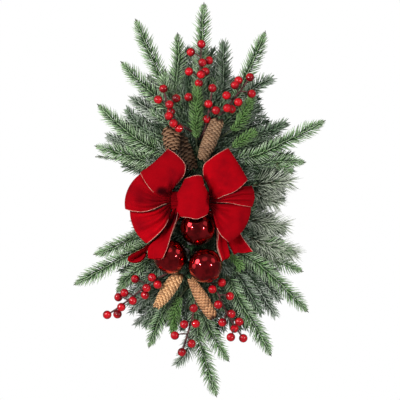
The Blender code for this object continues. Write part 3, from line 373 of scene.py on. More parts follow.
def makeMaterials():
    found = {name: needleMaterial(name, look) for name, look in needleFinishes.items()}
    for name, look in grainFinishes.items():
        found[name] = grainMaterial(**look)
    for name, gains in coneGains.items():
        found[name] = coneMaterial("scales_" + name, coneLook, gains)
    found["velvet"] = velvetMaterial(velvetLook)
    found["ball"] = ballMaterial(ballLook)
    found["berry"] = berryMaterial(berryLook)
    return found


# Curves and meshes

# Points about a step apart on a smooth curve through the given ones.
def smoothRoute(points, step):
    pts = np.array(points, float)
    padded = np.vstack([2 * pts[0] - pts[1], pts, 2 * pts[-1] - pts[-2]])
    found = [pts[:1]]
    for a, b, c, d in zip(padded, padded[1:], padded[2:], padded[3:]):
        count = max(2, round(np.linalg.norm(c - b)))
        t = (np.arange(1, count + 1) / count)[:, None]
        found.append(0.5 * (2 * b + (c - a) * t + (2 * a - 5 * b + 4 * c - d) * t ** 2
                            + (3 * b - a - 3 * c + d) * t ** 3))
    fine = np.vstack(found)
    return resample(fine, max(2, round(routeLength(fine) / step) + 1))


def routeLength(points):
    return float(np.linalg.norm(np.diff(points, axis=0), axis=1).sum())


def resample(points, count):
    along = np.concatenate([[0], np.cumsum(np.linalg.norm(np.diff(points, axis=0), axis=1))])
    at = np.linspace(0, along[-1], count)
    return np.stack([np.interp(at, along, points[:, k]) for k in range(points.shape[1])], axis=1)


def unit(v):
    return v / np.maximum(np.linalg.norm(v, axis=-1, keepdims=True), 1e-9)


def smoothStep(x):
    return x * x * (3 - 2 * x)


def fullTurn(count):
    return 2 * np.pi * np.arange(count) / count


# Points on the circle, or ellipse, that side and up span.
def circle(turn, side, up):
    return np.cos(turn)[..., None] * side + np.sin(turn)[..., None] * up


# The direction and two cross directions at each point, turned as little as possible.
def framesAlong(points):
    ahead = unit(np.gradient(points, axis=0))
    guess = np.array([0.0, 1.0, 0.0]) if abs(ahead[0][1]) < 0.9 else np.array([1.0, 0.0, 0.0])
    side = unit(np.cross(ahead[0], guess))
    sides = []
    for a in ahead:
        side = unit(side - a * side.dot(a))
        sides.append(side)
    sides = np.array(sides)
    return ahead, sides, np.cross(ahead, sides)


# Gathers vertices, faces, material numbers and vertex attributes for one mesh.
class Build:
    def __init__(self):
        self.verts, self.faces, self.mats, self.marks, self.count = [], [], [], [], 0

    # verts is (n, 3); faces is a list of (m, k) index arrays
    def add(self, verts, faces, mat=0, along=0.0, shade=0.5, frost=0.0):
        self.verts.append(verts)
        self.marks.append(np.stack([np.broadcast_to(v, len(verts)) for v in (along, shade, frost)], axis=1))
        for f in faces:
            self.faces.append(f + self.count)
            self.mats.append(np.full(len(f), mat))
        self.count += len(verts)

    def piece(self, name, materials, slot, replaces=()):
        mesh = bpy.data.meshes.new(name)
        mesh.vertices.add(self.count)
        mesh.vertices.foreach_set("co", mm(np.vstack(self.verts)).astype(np.float32).ravel())
        sizes = np.concatenate([np.full(len(f), f.shape[1]) for f in self.faces])
        starts = np.concatenate([[0], np.cumsum(sizes)[:-1]])
        loops = np.concatenate([f.ravel() for f in self.faces])
        mesh.loops.add(len(loops))
        mesh.loops.foreach_set("vertex_index", loops.astype(np.int32))
        mesh.polygons.add(len(sizes))
        mesh.polygons.foreach_set("loop_start", starts.astype(np.int32))
        mesh.polygons.foreach_set("material_index", np.concatenate(self.mats).astype(np.int32))
        mesh.polygons.foreach_set("use_smooth", np.full(len(sizes), True))
        mesh.update(calc_edges=True)
        marks = np.vstack(self.marks).astype(np.float32)
        for i, label in enumerate(("along", "shade", "frost")):
            layer = mesh.attributes.new(label, "FLOAT", "POINT")
            layer.data.foreach_set("value", np.ascontiguousarray(marks[:, i]))
        for mat in materials:
            mesh.materials.append(mat)
        ob = addObject(name, mesh)
        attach(ob, "root")
        if replaces:
            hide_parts(*replaces)
        return ob


# Quads of a grid; wrap closes it across the columns.
def gridFaces(rows, columns, wrap=False):
    i, j = np.meshgrid(np.arange(rows - 1), np.arange(columns if wrap else columns - 1), indexing="ij")
    a, b = i * columns + j, i * columns + (j + 1) % columns
    return np.stack([a, b, b + columns, a + columns], axis=-1).reshape(-1, 4)


# A closed skin over rings of points, with a point at each end.
def addRings(build, rings, ends, mat=0, **marks):
    rows, columns = rings.shape[:2]
    n = rows * columns
    k = np.arange(columns)
    after = (k + 1) % columns
    first = np.stack([after, k, np.full(columns, n)], axis=1)
    final = np.stack([n - columns + k, n - columns + after, np.full(columns, n + 1)], axis=1)
    build.add(np.vstack([rings.reshape(-1, 3), ends]), [gridFaces(rows, columns, True), first, final], mat,
              **marks)


# A closed plate between two grids of points, of which top is the outer one.
def addPlate(build, top, under, **marks):
    rows, columns = top.shape[:2]
    index = np.arange(rows * columns).reshape(rows, columns)
    rim = np.concatenate([index[0, :-1], index[:-1, -1], index[-1, :0:-1], index[:0:-1, 0]])
    after = np.roll(rim, -1)
    face = gridFaces(rows, columns)
    edge = np.stack([rim + index.size, after + index.size, after, rim], axis=1)
    verts = np.vstack([top.reshape(-1, 3), under.reshape(-1, 3)])
    build.add(verts, [face, face[:, ::-1] + index.size, edge], **marks)


# A round tube along the points, with pointed ends.
def addTube(build, points, radii, sides=8, mat=0, **marks):
    ahead, side, up = framesAlong(points)
    radii = np.broadcast_to(radii, len(points))
    rings = points[:, None] + circle(fullTurn(sides), side[:, None], up[:, None]) * radii[:, None, None]
    ends = [points[0] - ahead[0] * radii[0] * 0.4, points[-1] + ahead[-1] * radii[-1] * 0.4]
    addRings(build, rings, ends, mat, **marks)


# Two wires twisted round each other, as wide as one rod of that radius.
def addTwist(build, points, radius, mat=0):
    step, pitch = 0.7, 5.0
    fine = smoothRoute(points, step)
    side, up = framesAlong(fine)[1:]
    turn = 2 * np.pi * np.arange(len(fine)) * step / pitch
    for phase in (0, math.pi):
        addTube(build, fine + circle(turn + phase, side, up) * radius * 0.5, radius * 0.5, 7, mat)


# A turned body; profile is (share of the axis, radius) from one pole to the other.
def addLathe(build, start, end, profile, segments, **marks):
    axis = end - start
    side, up = framesAlong(np.array([start, end]))[1:]
    profile = np.array(profile, float)
    share, radius = profile[1:-1, 0, None, None], profile[1:-1, 1, None, None]
    rings = start + axis * share + circle(fullTurn(segments), side[0], up[0]) * radius
    addRings(build, rings, start + axis * profile[[0, -1], :1], **marks)


# Needled sprays

# turns are where the rows stand round the stem, in degrees: 0 and 180 at the sides, 90 in front
# pitch is the distance between needles of a row; lean is the angle from the stem, from foot to tip;
# front is the share of their length and brightness that the needles in front lack; foot and tip give the
# distances in mm from each end and the shares of the length that the needles have there, and lit how bright
# they are from the foot on; dusted is the share of needles with heavy frost and how much of it the others
# have at most; rings are the shares along a needle and of its width
needleBase = {"turns": (0, 180, 38, 142, 90, 225, 315), "pitch": 3.5, "length": 19.6, "width": 1.12,
              "thick": 0.95, "lean": (61, 55, 24), "curl": 0.12, "core": 1.4, "wild": 3.5, "sag": 0.0,
              "front": 0.42, "spike": 7.0, "rings": ((0.0, 1.05), (0.4, 1.0), (0.75, 0.75)),
              "foot": ((0, 8), (0.85, 1.0)), "tip": ((0, 5, 12, 24, 36), (0.30, 0.48, 0.70, 0.94, 1.0)),
              "lit": ((0, 1), (1.0, 1.0)), "dusted": (0.40, 0.55)}
needleKinds = {
    "short": {},
    "blunt": {"lean": (61, 55, 26), "wild": 5.0, "front": 0.35, "spike": 3.0,
              "tip": ((0, 10, 24), (0.62, 0.86, 1.0))},
    "dense": {"turns": (0, 180, 25, 155, 50, 130, 72, 108, 90, 220, 320), "pitch": 4.0, "length": 17.0,
              "width": 1.15, "thick": 0.9, "lean": (62, 58, 34), "curl": 0.16, "core": 1.5, "wild": 4.0,
              "front": 0.36, "spike": 3.0, "foot": ((0, 18), (0.45, 1.0)),
              "rings": ((0.0, 0.9), (0.35, 1.0), (0.75, 0.75)),
              "tip": ((0, 6, 16, 30), (0.52, 0.74, 0.92, 1.0))},
    "filler": {"turns": (0, 180, 45, 135, 90, 240, 300), "pitch": 4.0, "length": 18.5, "width": 1.18,
               "thick": 0.80, "lean": (60, 54, 38), "core": 1.2, "wild": 7.0, "front": 0.2, "spike": 4.0,
               "rings": ((0.0, 0.9), (0.45, 1.0)), "tip": ((0, 12, 30), (0.6, 0.80, 1.0))},
    "thin": {"turns": (0, 180, 90, 50, 220, 310), "pitch": 4.6, "length": 11.0, "width": 0.72, "thick": 0.60,
             "lean": (44, 36, 22), "core": 1.1, "wild": 7.0, "front": 0.2, "spike": 5.0,
             "rings": ((0.0, 0.80), (0.35, 1.0), (0.75, 0.75)), "tip": ((0, 12, 30), (0.5, 0.80, 1.0))},
    "long": {"turns": (0, 180, 35, 145, 90, 60, 120, 200, 340), "pitch": 2.6, "length": 34.0, "width": 0.95,
             "thick": 0.50, "lean": (54, 48, 28), "curl": 0.10, "core": 1.7, "wild": 9.0, "sag": 0.18,
             "front": 0.36, "spike": 5.0, "lit": ((0, 32), (0.22, 1.0)),
             "rings": ((0.0, 0.8), (0.3, 1.0), (0.65, 0.85)), "tip": ((0, 12, 30), (0.70, 0.82, 1.0)),
             "dusted": (0.58, 0.08)},
}
sprayKinds = {"long": "long", "bright": "dense", "thin": "thin", "dark": "blunt", "grey": "blunt"}
needleSides = 3
wallGap = 0.8                       # needles stay this far in front of the wall
# steps are in mm; coreEnd is the radius that a stem ends in; stagger shifts each row along the stem;
# leanEnd is how much of the last lean needles have, by mm from the end; uneven values are shares, and for
# turn radians; shade is the middle and the spread; flatten makes the dark middle taller than it is wide;
# frosted is the least and most frost of heavy needles, and the least of the others
sprayLook = {"step": 1.5, "stalkStep": 3.0, "coreSides": 6, "coreEnd": 0.40, "coreUneven": 0.10,
             "stagger": 0.382, "rowUneven": 0.07, "turnUneven": 0.10, "leanEnd": ((0, 8, 28), (1, 0.6, 0)),
             "lengthUneven": (0.88, 1.08), "bendOff": 0.8, "shade": (0.5, 0.32), "flatten": 0.65,
             "frosted": (0.75, 1.0, 0.05)}
# painted shade: needles are darker near the wall and in the rows behind the stem, and the ones that fill the
# middle are darker inwards too
depthShade = {"from": (4.0, 16.0), "keeps": (0.45, 1.0), "inwards": ((50.0, 135.0), (0.06, 1.0)),
              "behind": 0.62}


# One closed needle for each base, bent towards bend as it goes.
def addNeedles(build, look, base, direction, bend, length, mat, shade, frost):
    n, rings = len(base), len(look["rings"])
    across = unit(np.cross(direction, bend) + 1e-6)
    over = np.cross(across, direction)
    turns = fullTurn(needleSides)
    spread = circle(turns, across[:, None, None] * look["width"], over[:, None, None] * look["thick"])
    share, wide = np.array(look["rings"]).T[:, :, None, None]
    forward = share * direction[:, None, None] + look["curl"] * share * share * bend[:, None, None]
    bodies = base[:, None, None] + length[:, None, None, None] * forward + wide * spread
    tips = base + length[:, None] * (direction + look["curl"] * bend)
    verts = np.concatenate([bodies.reshape(n, -1, 3), tips[:, None]], axis=1)
    size = verts.shape[1]
    k = np.arange(needleSides)
    quads = gridFaces(rings, needleSides, True)[:, [0, 3, 2, 1]]
    points = np.stack([(k + 1) % needleSides, k, np.full(needleSides, needleSides)], axis=1)
    faces = [quads, points + size - 1 - needleSides, k[None]]
    faces = [(f[None] + (np.arange(n) * size)[:, None, None]).reshape(-1, f.shape[1]) for f in faces]
    along = np.append(np.repeat(share.ravel(), needleSides), 1.0)
    # the side towards the tip of the spray is the frosted one, partly real frost and partly a painted
    # highlight on that side
    dusted = np.append(np.tile(0.5 + 0.5 * np.sin(turns), rings), 0.8)
    build.add(verts.reshape(-1, 3), faces, mat, along=np.tile(along, n), shade=np.repeat(shade, size),
              frost=(frost[:, None] * dusted).ravel())


# A bare stalk, then a stem with rows of needles, then the dark spike that the stem ends in.
def addSpray(build, stalk, route, kind, mats, rng, density=1.0):
    look = {**needleBase, **sprayLook, **needleKinds[kind]}
    core = look["core"]
    line = smoothRoute(route, look["step"])
    ahead, side, up = framesAlong(line)
    total = routeLength(line)
    whole = np.vstack([smoothRoute([*stalk, route[0]], look["stalkStep"])[:-1], line])
    count = len(whole)
    radii = np.interp(np.arange(count), [0, count - len(line), count - 5, count - 1],
                      [core, core, core * 0.95, look["coreEnd"]])
    radii = radii * (1 + look["coreUneven"] * rng.standard_normal(count).clip(-1.5, 1.5))
    addTube(build, whole, radii, look["coreSides"], mats[1])
    needled = total - look["spike"]
    rungs = max(3, int(needled / look["pitch"] * density))
    rows = len(look["turns"])
    k = np.arange(rungs * rows)
    row = k % rows
    count = len(k)
    share = (k // rows + (row * look["stagger"]) % 1 + rng.normal(0, look["rowUneven"], count)) / rungs
    share = share.clip(0, 1)
    fromFoot, toEnd = needled * share, needled * (1 - share)
    at = fromFoot / total * (len(line) - 1.001)
    i = at.astype(int)
    f = (at - i)[:, None]
    base = line[i] * (1 - f) + line[i + 1] * f
    turn = np.radians(look["turns"])[row] + rng.normal(0, look["turnUneven"], count)
    outward = circle(turn, side[i], up[i])
    foot, tip, last = look["lean"]
    lean = foot + (tip - foot) * share + (last - tip) * np.interp(toEnd, *look["leanEnd"])
    lean = np.radians(lean + rng.normal(0, look["wild"], count))
    direction = circle(lean, ahead[i], outward)
    sag = np.array([0, 0, -look["sag"]])
    direction = unit(direction + sag * (0.5 + rng.random(count))[:, None])
    facing = 1 - look["front"] * np.sin(turn).clip(0, 1)
    taper = np.interp(toEnd, *look["tip"]) * np.interp(fromFoot, *look["foot"])
    length = look["length"] * taper * facing * rng.uniform(*look["lengthUneven"], count)
    bend = unit(ahead[i] - look["bendOff"] * outward + sag)
    furthest = (-wallGap - base[:, 1]) / length - look["curl"] * bend[:, 1]
    held = np.minimum(direction[:, 1], furthest.clip(-0.9, 0.9))
    direction[:, [0, 2]] *= np.sqrt((1 - held ** 2) / (1 - direction[:, 1] ** 2 + 1e-6))[:, None]
    direction[:, 1] = held
    # painted shade: deep darkens the shade and frost marks near the wall, inwards in the fillers, near the
    # foot by lit, and in the rows behind the stem; facing also darkens the rows in front
    deep = np.interp(-base[:, 1], depthShade["from"], depthShade["keeps"])
    if kind == "filler":
        deep = deep * np.interp(np.hypot(base[:, 0], base[:, 2] * look["flatten"]), *depthShade["inwards"])
    deep = deep * np.interp(fromFoot, *look["lit"])
    deep = deep * facing * (1 - depthShade["behind"] * (-np.sin(turn)).clip(0, 1))
    middle, spread = look["shade"]
    shade = (middle + spread * rng.standard_normal(count)).clip(0, 1) * deep
    heavy, most = look["dusted"]
    low, high, least = look["frosted"]
    isHeavy = rng.random(count) < heavy
    frost = np.where(isHeavy, rng.uniform(low, high, count), rng.uniform(least, most, count)) * deep
    addNeedles(build, look, base, direction, bend, length, mats[0], shade, frost)


# Branches, each with its root on the stem, its bare stalk, and its sprays as (finish, route)
branches = {
    "pine_front_top": {"root": (-3, -14, 76), "stalk": [(-3, -24, 82)], "sprays": [
        ("bright", [(-4, -34, 92), (-4, -42, 112), (-4, -44, 138), (-3, -44, 168)]),
        ("shadow", [(-3, -22, 72), (-1, -26, 54), (1, -26, 30)]),
        ("shadow", [(-8, -17, 64), (-10.5, -18, 44), (-11, -19, 22)]),
        ("shadow", [(8, -17, 50), (11, -18, 26), (12.5, -19, 2)])]},
    "pine_front_right_high": {"root": (4, -14, 84), "stalk": [(18, -26, 88), (34, -34, 94)], "sprays": [
        ("bright", [(48, -38, 104), (60, -42, 114), (79, -44, 153)])]},
    "pine_front_right_low": {"root": (4, -14, 64), "stalk": [(18, -28, 66), (34, -36, 70)], "sprays": [
        ("bright", [(50, -42, 79), (68, -46, 91), (84, -48, 102)])]},
    "pine_front_below_bow": {"root": (4, -14, -82), "stalk": [(20, -26, -80), (36, -34, -78)], "sprays": [
        ("bright", [(46, -40, -82), (56, -46, -92), (63, -50, -104)]),
        ("shadow", [(12, -22, -80), (15, -25, -66), (18, -26, -46)]),
        ("shadow", [(10, -20, -96), (7, -20, -118), (4, -21, -142)])]},
    "pine_bottom_green": {"root": (-4, -14, -118), "stalk": [(-16, -24, -130)], "sprays": [
        ("bright", [(-28, -30, -146), (-36, -30, -170), (-39, -28, -200)])]},
    "pine_top": {"root": (2, -14, 128), "stalk": [(3, -18, 145)], "sprays": [
        ("green", [(3, -18, 160), (4, -17, 214), (5.5, -17, 262), (7.5, -18, 298)])]},
    "pine_top_left": {"root": (-9, -6, 122), "stalk": [(-20, -8, 134)], "sprays": [
        ("green", [(-31, -11, 152), (-34.5, -14, 176), (-30.5, -17, 214), (-32.5, -20, 252)]),
        ("green", [(-44, -22, 158), (-52, -26, 174), (-50, -28, 196)])]},
    "pine_tall_left": {"root": (-9, -6, 104), "stalk": [(-22, -8, 116)], "sprays": [
        ("green", [(-42, -10, 144), (-55.5, -12, 179), (-77, -14, 227), (-96.5, -16, 273)])]},
    "pine_left_high": {"root": (-9, -6, 88), "stalk": [(-24, -12, 102)], "sprays": [
        ("green", [(-48, -20, 138), (-70, -22, 160), (-97, -22, 185.5), (-118.5, -22, 208.5)]),
        ("grey", [(-50, -12, 112), (-64, -14, 128), (-82, -14, 141), (-101, -14, 151)])]},
    "pine_left_forked": {"root": (-9, -6, 58), "stalk": [(-28, -12, 62)], "sprays": [
        ("green", [(-52, -22, 70), (-78, -26, 81), (-102.5, -28, 98), (-129, -28, 120), (-153.5, -26, 144)]),
        ("dark", [(-70, -18, 88), (-84, -16, 104), (-97, -14, 120), (-108, -12, 135)])]},
    "pine_left_low": {"root": (-9, -6, 42), "stalk": [(-30, -10, 44)], "sprays": [
        ("green", [(-56, -18, 52), (-90, -22, 61), (-119, -22, 70), (-158, -20, 81)]),
        ("grey", [(-76, -10, 66), (-104, -8, 80), (-136, -8, 95)]),
        ("thin", [(-104, -14, 60), (-130, -12, 62.5), (-157, -12, 65)]),
        ("dark", [(-46, -8, 33), (-66, -7, 27), (-90, -7, 25)]),
        ("dark", [(-78, -10, 46), (-96, -10, 49), (-114, -10, 52)])]},
    "pine_top_right": {"root": (9, -6, 120), "stalk": [(20, -8, 132)], "sprays": [
        ("dark", [(32, -12, 150), (37, -14, 178), (37, -15, 210), (38, -16, 236)])]},
    "pine_right_tall": {"root": (9, -6, 102), "stalk": [(26, -8, 114)], "sprays": [
        ("green", [(54, -12, 150), (70.5, -14, 184), (83, -15, 212), (100.5, -16, 255)]),
        ("dark", [(72, -20, 158), (90, -24, 173), (109, -24, 182)])]},
    "pine_right_dark": {"root": (9, -6, 84), "stalk": [(30, -8, 90)], "sprays": [
        ("dark", [(60, -10, 92), (92, -12, 98), (113, -12, 106), (131, -12, 116)]),
        ("dark", [(68, -16, 112), (76, -16, 134), (81, -16, 156)])]},
    "pine_right_high": {"root": (9, -6, 60), "stalk": [(32, -10, 60)], "sprays": [
        ("green", [(58, -24, 62), (86, -28, 67), (120, -26, 82.5), (152, -24, 98.5), (191, -22, 119.5)])]},
    "pine_right_mid": {"root": (9, -6, 42), "stalk": [(34, -8, 44)], "sprays": [
        ("green", [(60, -12, 48), (90, -14, 55), (126, -16, 57), (162, -16, 56.5)]),
        ("green", [(118, -20, 50), (132, -22, 46), (143, -22, 38)])]},
    "pine_long_needled_high": {"root": (9, -6, 20), "stalk": [(40, -10, 22)], "sprays": [
        ("long", [(84, -22, 21), (104, -26, 25), (138, -28, 28)]),
        ("long", [(80, -18, 14), (98, -20, 4), (118, -22, -6)])]},
    "pine_long_needled_low": {"root": (9, -6, -6), "stalk": [(40, -10, -12)], "sprays": [
        ("long", [(70, -18, -28), (98, -22, -35), (131, -22, -39)]),
        ("long", [(74, -20, -56), (102, -24, -69), (145, -24, -80)])]},
    "pine_lower_right_high": {"root": (9, -6, -26), "stalk": [(36, -8, -40)], "sprays": [
        ("green", [(62, -12, -60), (94, -14, -79), (128, -16, -97), (158, -16, -109)]),
        ("green", [(96, -22, -64), (120, -26, -72), (147, -26, -82)])]},
    "pine_lower_right_mid": {"root": (9, -6, -44), "stalk": [(32, -14, -58)], "sprays": [
        ("green", [(62, -28, -80), (90, -30, -98), (113, -30, -118), (135, -30, -140), (165, -28, -170)])]},
    "pine_lower_right_low": {"root": (9, -6, -62), "stalk": [(30, -10, -76)], "sprays": [
        ("grey", [(56, -12, -98), (84, -14, -127), (101, -14, -153), (115, -14, -175)]),
        ("grey", [(84, -12, -110), (104, -12, -132), (121, -12, -150)]),
        ("dark", [(58, -24, -112), (75, -26, -140), (93, -26, -170)])]},
    "pine_bottom_right": {"root": (9, -6, -80), "stalk": [(24, -14, -92)], "sprays": [
        ("green", [(46, -30, -120), (58, -32, -148), (80, -32, -184), (96, -30, -211), (109, -28, -236)])]},
    "pine_bottom": {"root": (-2, -14, -130), "stalk": [(-4, -16, -146)], "sprays": [
        ("green", [(-6, -16, -166), (0, -16, -213), (9, -16, -242), (17, -16, -268), (27, -16, -299)]),
        ("grey", [(-9, -12, -196), (-14, -12, -220), (-22, -12, -235), (-33, -12, -249)]),
        ("green", [(6, -20, -170), (16, -22, -196), (30, -22, -222), (46, -20, -245)])]},
    "pine_bottom_left": {"slot": "pine_frosted", "root": (-9, -6, -106), "stalk": [(-22, -8, -118)],
                         "sprays": [
        ("green", [(-42, -12, -142), (-58, -14, -176), (-67, -14, -199), (-76, -14, -225)]),
        ("grey", [(-66, -10, -140), (-84, -10, -152), (-97, -12, -162)]),
        ("dark", [(-58, -10, -150), (-70, -10, -172), (-81, -10, -191)])]},
    "pine_lower_left_low": {"root": (-9, -6, -66), "stalk": [(-32, -8, -72)], "sprays": [
        ("green", [(-58, -14, -84), (-90, -18, -104), (-110, -18, -122), (-125, -18, -142)]),
        ("dark", [(-56, -22, -96), (-72, -26, -112), (-82, -26, -128)])]},
    "pine_lower_left_mid": {"root": (-9, -6, -46), "stalk": [(-36, -12, -54)], "sprays": [
        ("green", [(-72, -22, -68), (-107, -26, -84), (-127, -27, -94), (-155, -27, -110), (-189, -26, -129),
                   ])]},
    "pine_lower_left_high": {"root": (-9, -6, -24), "stalk": [(-36, -8, -32)], "sprays": [
        ("green", [(-64, -12, -42), (-93, -14, -56), (-118, -16, -68), (-138, -16, -76.5),
                   (-160, -16, -83.5)]),
        ("dark", [(-50, -7, -22), (-70, -7, -13), (-92, -7, -8)]),
        ("dark", [(-42, -7, -16), (-54, -7, 1), (-72, -7, 9)])]},
}
slotOfLeader = {"bright": "pine_bright", "green": "pine_green"}

# The middle is filled out to this line, as (x, z), clockwise from the top
fillOutline = [(-20, 238), (4, 226), (30, 234), (55, 188), (91, 182), (92, 134), (132, 108), (139, 73),
               (146, 45), (138, 6), (104, -14), (138, -52), (134, -78), (124, -112), (124, -150), (94, -170),
               (68, -202), (38, -206), (13, -214), (-6, -207), (-43, -188), (-64, -198), (-90, -194),
               (-108, -168), (-127, -121), (-122, -76), (-104, -44), (-88, -10), (-86, 20), (-100, 44),
               (-142, 90), (-128, 114), (-102, 136), (-76, 188), (-54, 178)]
# reach is the share of the way out to that line; at and to are the depths at the stem and at the tip
fillLayers = {
    "back": {"finishes": ("dark", "grey", "shadow", "dark"), "spacing": 12, "reach": 1.0, "at": -5, "to": -7,
             "density": 0.92},
    "middle": {"finishes": ("shadow", "green", "dark"), "spacing": 14, "reach": 0.82, "at": -12, "to": -17},
    "front": {"finishes": ("shadow", "dark", "grey"), "spacing": 17, "reach": 0.60, "at": -14, "to": -25},
    "heart": {"finishes": ("shadow",), "spacing": 27, "reach": 0.42, "at": -12, "to": -16, "bare": 0.0},
}
fillRoots = {"spread": 0.56, "highest": 124.0, "side": 8.0, "bare": 0.22, "wander": 2.0, "bow": (0, -2, 4)}
# how far a stalk's first point is sunk in the stem, and how far out the next one is
stalkLook = {"sunk": 1.5, "branchOut": 3.0, "pickOut": 3.3, "forkOut": 4.0}
# where the random draws of each kind of piece start
seeds = {"branches": 100, "innerGreens": 500, "berries": 700, "cones": 900}


# The first two points of a stalk: in the stem, and just out of its side or its front.
def leaveStem(root, reach):
    root = np.array(root, float)
    atSide = abs(root[0]) >= stemShape["halfWidth"]
    out = np.array([np.sign(root[0]), 0, 0]) if atSide else np.array([0, -1.0, 0])
    return [root - out * stalkLook["sunk"], root + out * reach]


# The first two points of a fork: on the leader, nearest to where the fork goes, and just out of it.
def forkFrom(leader, target):
    fork = leader[np.linalg.norm(leader - target, axis=1).argmin()]
    return [fork, fork + unit(target - fork) * stalkLook["forkOut"]]


# A branch's first spray grows from the stem, and the others fork from it.
def makeBranches(mats):
    finishes = list(needleFinishes)
    stock = [mats[name] for name in (*finishes, "core", "coreBrown")]
    for number, (name, branch) in enumerate(branches.items()):
        rng = np.random.default_rng(seeds["branches"] + number)
        build = Build()
        leading, route = branch["sprays"][0]
        stalk = leaveStem(branch["root"], stalkLook["branchOut"]) + branch["stalk"]
        leader = smoothRoute(stalk + route, 4.0)[3:-6]
        stalks = [stalk] + [forkFrom(leader, route[0]) for finish, route in branch["sprays"][1:]]
        for stalk, (finish, route) in zip(stalks, branch["sprays"]):
            kind = sprayKinds.get(finish, "short")
            core = len(needleFinishes) + (kind == "long")
            addSpray(build, stalk, route, kind, (finishes.index(finish), core), rng)
        slot = branch.get("slot", slotOfLeader.get(leading, "pine_frosted"))
        build.piece(name + "_needled", stock, slot, [name])


# Short sprays from the stem to points along the outline, in layers from back to front.
def makeInnerGreens(mats):
    finishes = list(needleFinishes)
    stock = [mats[name] for name in (*finishes, "core", "coreBrown")]
    outline = np.array(fillOutline + fillOutline[:1], float)
    for number, (layer, look) in enumerate(fillLayers.items()):
        rng = np.random.default_rng(seeds["innerGreens"] + number)
        count = round(routeLength(outline) / look["spacing"])
        tips = resample(outline, count + 1)[:-1] * look["reach"]
        tips = tips + rng.normal(0, fillRoots["wander"], tips.shape)
        halves = {"left": Build(), "right": Build()}
        for k, (x, z) in enumerate(tips):
            height = np.clip(z * fillRoots["spread"], -fillRoots["highest"], fillRoots["highest"])
            start = np.array([math.copysign(fillRoots["side"], x), look["at"], height])
            tip = np.array([x, look["to"], z])
            middle = (start + tip) / 2 + fillRoots["bow"]
            whole = smoothRoute([start, middle, tip], 3.0)
            cut = max(2, int(len(whole) * look.get("bare", fillRoots["bare"])))
            finish = look["finishes"][k % len(look["finishes"])]
            addSpray(halves["left" if x < 0 else "right"], whole[:cut:2], whole[cut::4], "filler",
                     (finishes.index(finish), len(finishes)), rng, look.get("density", 1.0))
        for half, build in halves.items():
            build.piece(f"inner_greens_{layer}_{half}", stock, "pine_green")


# Berries

berryPicks = {
    "berries_top": {
        "root": (0, -14, 116), "route": [(0, -30, 136), (1, -42, 165), (2, -46, 200), (3.5, -48, 232)],
        "berries": [(-12, -50, 220), (5, -53, 204), (15, -44, 208), (-15, -50, 191), (3, -55, 186.5),
                    (9.5, -45, 191.5), (0, -40, 174)]},
    "berries_top_left": {
        "root": (-4, -14, 100),
        "route": [(-14, -34, 104), (-34, -50, 118), (-46, -54, 140), (-53, -55, 165)],
        "berries": [(-61, -52, 149), (-34, -52, 151), (-44, -63, 141), (-42, -48, 131), (-45, -61, 124),
                    (-38, -66, 113), (-30, -59, 106)]},
    "berries_top_right": {
        "root": (4, -14, 98), "route": [(16, -24, 112), (38, -34, 134), (60, -52, 160), (76, -55, 182)],
        "berries": [(59, -54, 177.5), (53.5, -64, 170), (78.5, -58, 157.5), (41, -58, 155),
                    (58.5, -65, 144.5), (42, -62, 136), (49, -50, 135)]},
    "berries_top_centre": {
        "root": (0, -14, 90), "route": [(8, -36, 102), (13, -48, 124), (17, -54, 146), (20, -55, 166)],
        "berries": [(14, -62, 142), (25, -62, 132.5), (11.5, -42, 120), (-15.5, -56, 152.5)],
        "behind": {(-15.5, -56, 152.5): (-3, -37, 143)}},
    "berries_left": {
        "root": (-4, -14, -92),
        "route": [(-30, -26, -104), (-62, -44, -118), (-98, -50, -144), (-118, -51, -160),
                  (-137, -52, -172)],
        "berries": [(-70, -60, -116), (-61.5, -60, -126.5), (-78, -61, -131.5), (-80.5, -52, -142.5),
                    (-95.5, -44, -119), (-111, -56, -139), (-120.5, -46, -146), (-98.5, -60, -150.5),
                    (-115.5, -62, -160), (-121.5, -52, -171)]},
    "berries_bottom": {
        "root": (-2, -14, -126),
        "route": [(-4, -34, -146), (-10, -44, -176), (-18, -46, -204), (-25.5, -48, -228)],
        "berries": [(-8, -56, -162), (-22, -54, -186), (-5, -54, -185), (-36, -50, -203), (-11, -52, -215)]},
    "berries_right": {
        "root": (4, -14, -112),
        "route": [(14, -34, -118), (28, -44, -140), (44, -48, -174), (66, -50, -207)],
        "berries": [(34, -52, -124), (20, -50, -134), (46, -54, -144), (28.5, -58, -156.5), (48, -60, -170),
                    (35, -56, -183), (60, -58, -182), (53, -46, -193), (47.5, -56, -205)]},
}
berrySize = {"radius": 6.5, "stem": 1.45, "stalk": 1.0, "segments": 22, "rings": 12, "leanBack": 9.0,
             "dimple": 0.975, "step": 2.0, "uneven": 0.10, "aim": 0.6, "stray": 0.35, "droop": (0, -0.4, 0),
             "lengths": (0.96, 1.03), "stalkBow": (0, -1.5, 1.5)}


def stalkRoute(root, through, step):
    return smoothRoute(leaveStem(root, stalkLook["pickOut"]) + through, step)


def addBerry(build, berry, heading, rng):
    size, radius = berrySize, berrySize["radius"]
    turn = np.linspace(0, np.pi, size["rings"] + 1)
    profile = np.stack([(1 - np.cos(turn)) / 2, radius * np.sin(turn)], axis=1)
    profile[-1, 0] = size["dimple"]
    heading = unit(heading * size["aim"] + rng.normal(0, size["stray"], 3) + size["droop"])
    along = np.append(np.repeat(profile[1:-1, 0], size["segments"]), [0.0, 1.0])
    end = berry + heading * radius * rng.uniform(*size["lengths"])
    addLathe(build, berry - heading * radius, end, profile, size["segments"], along=along)


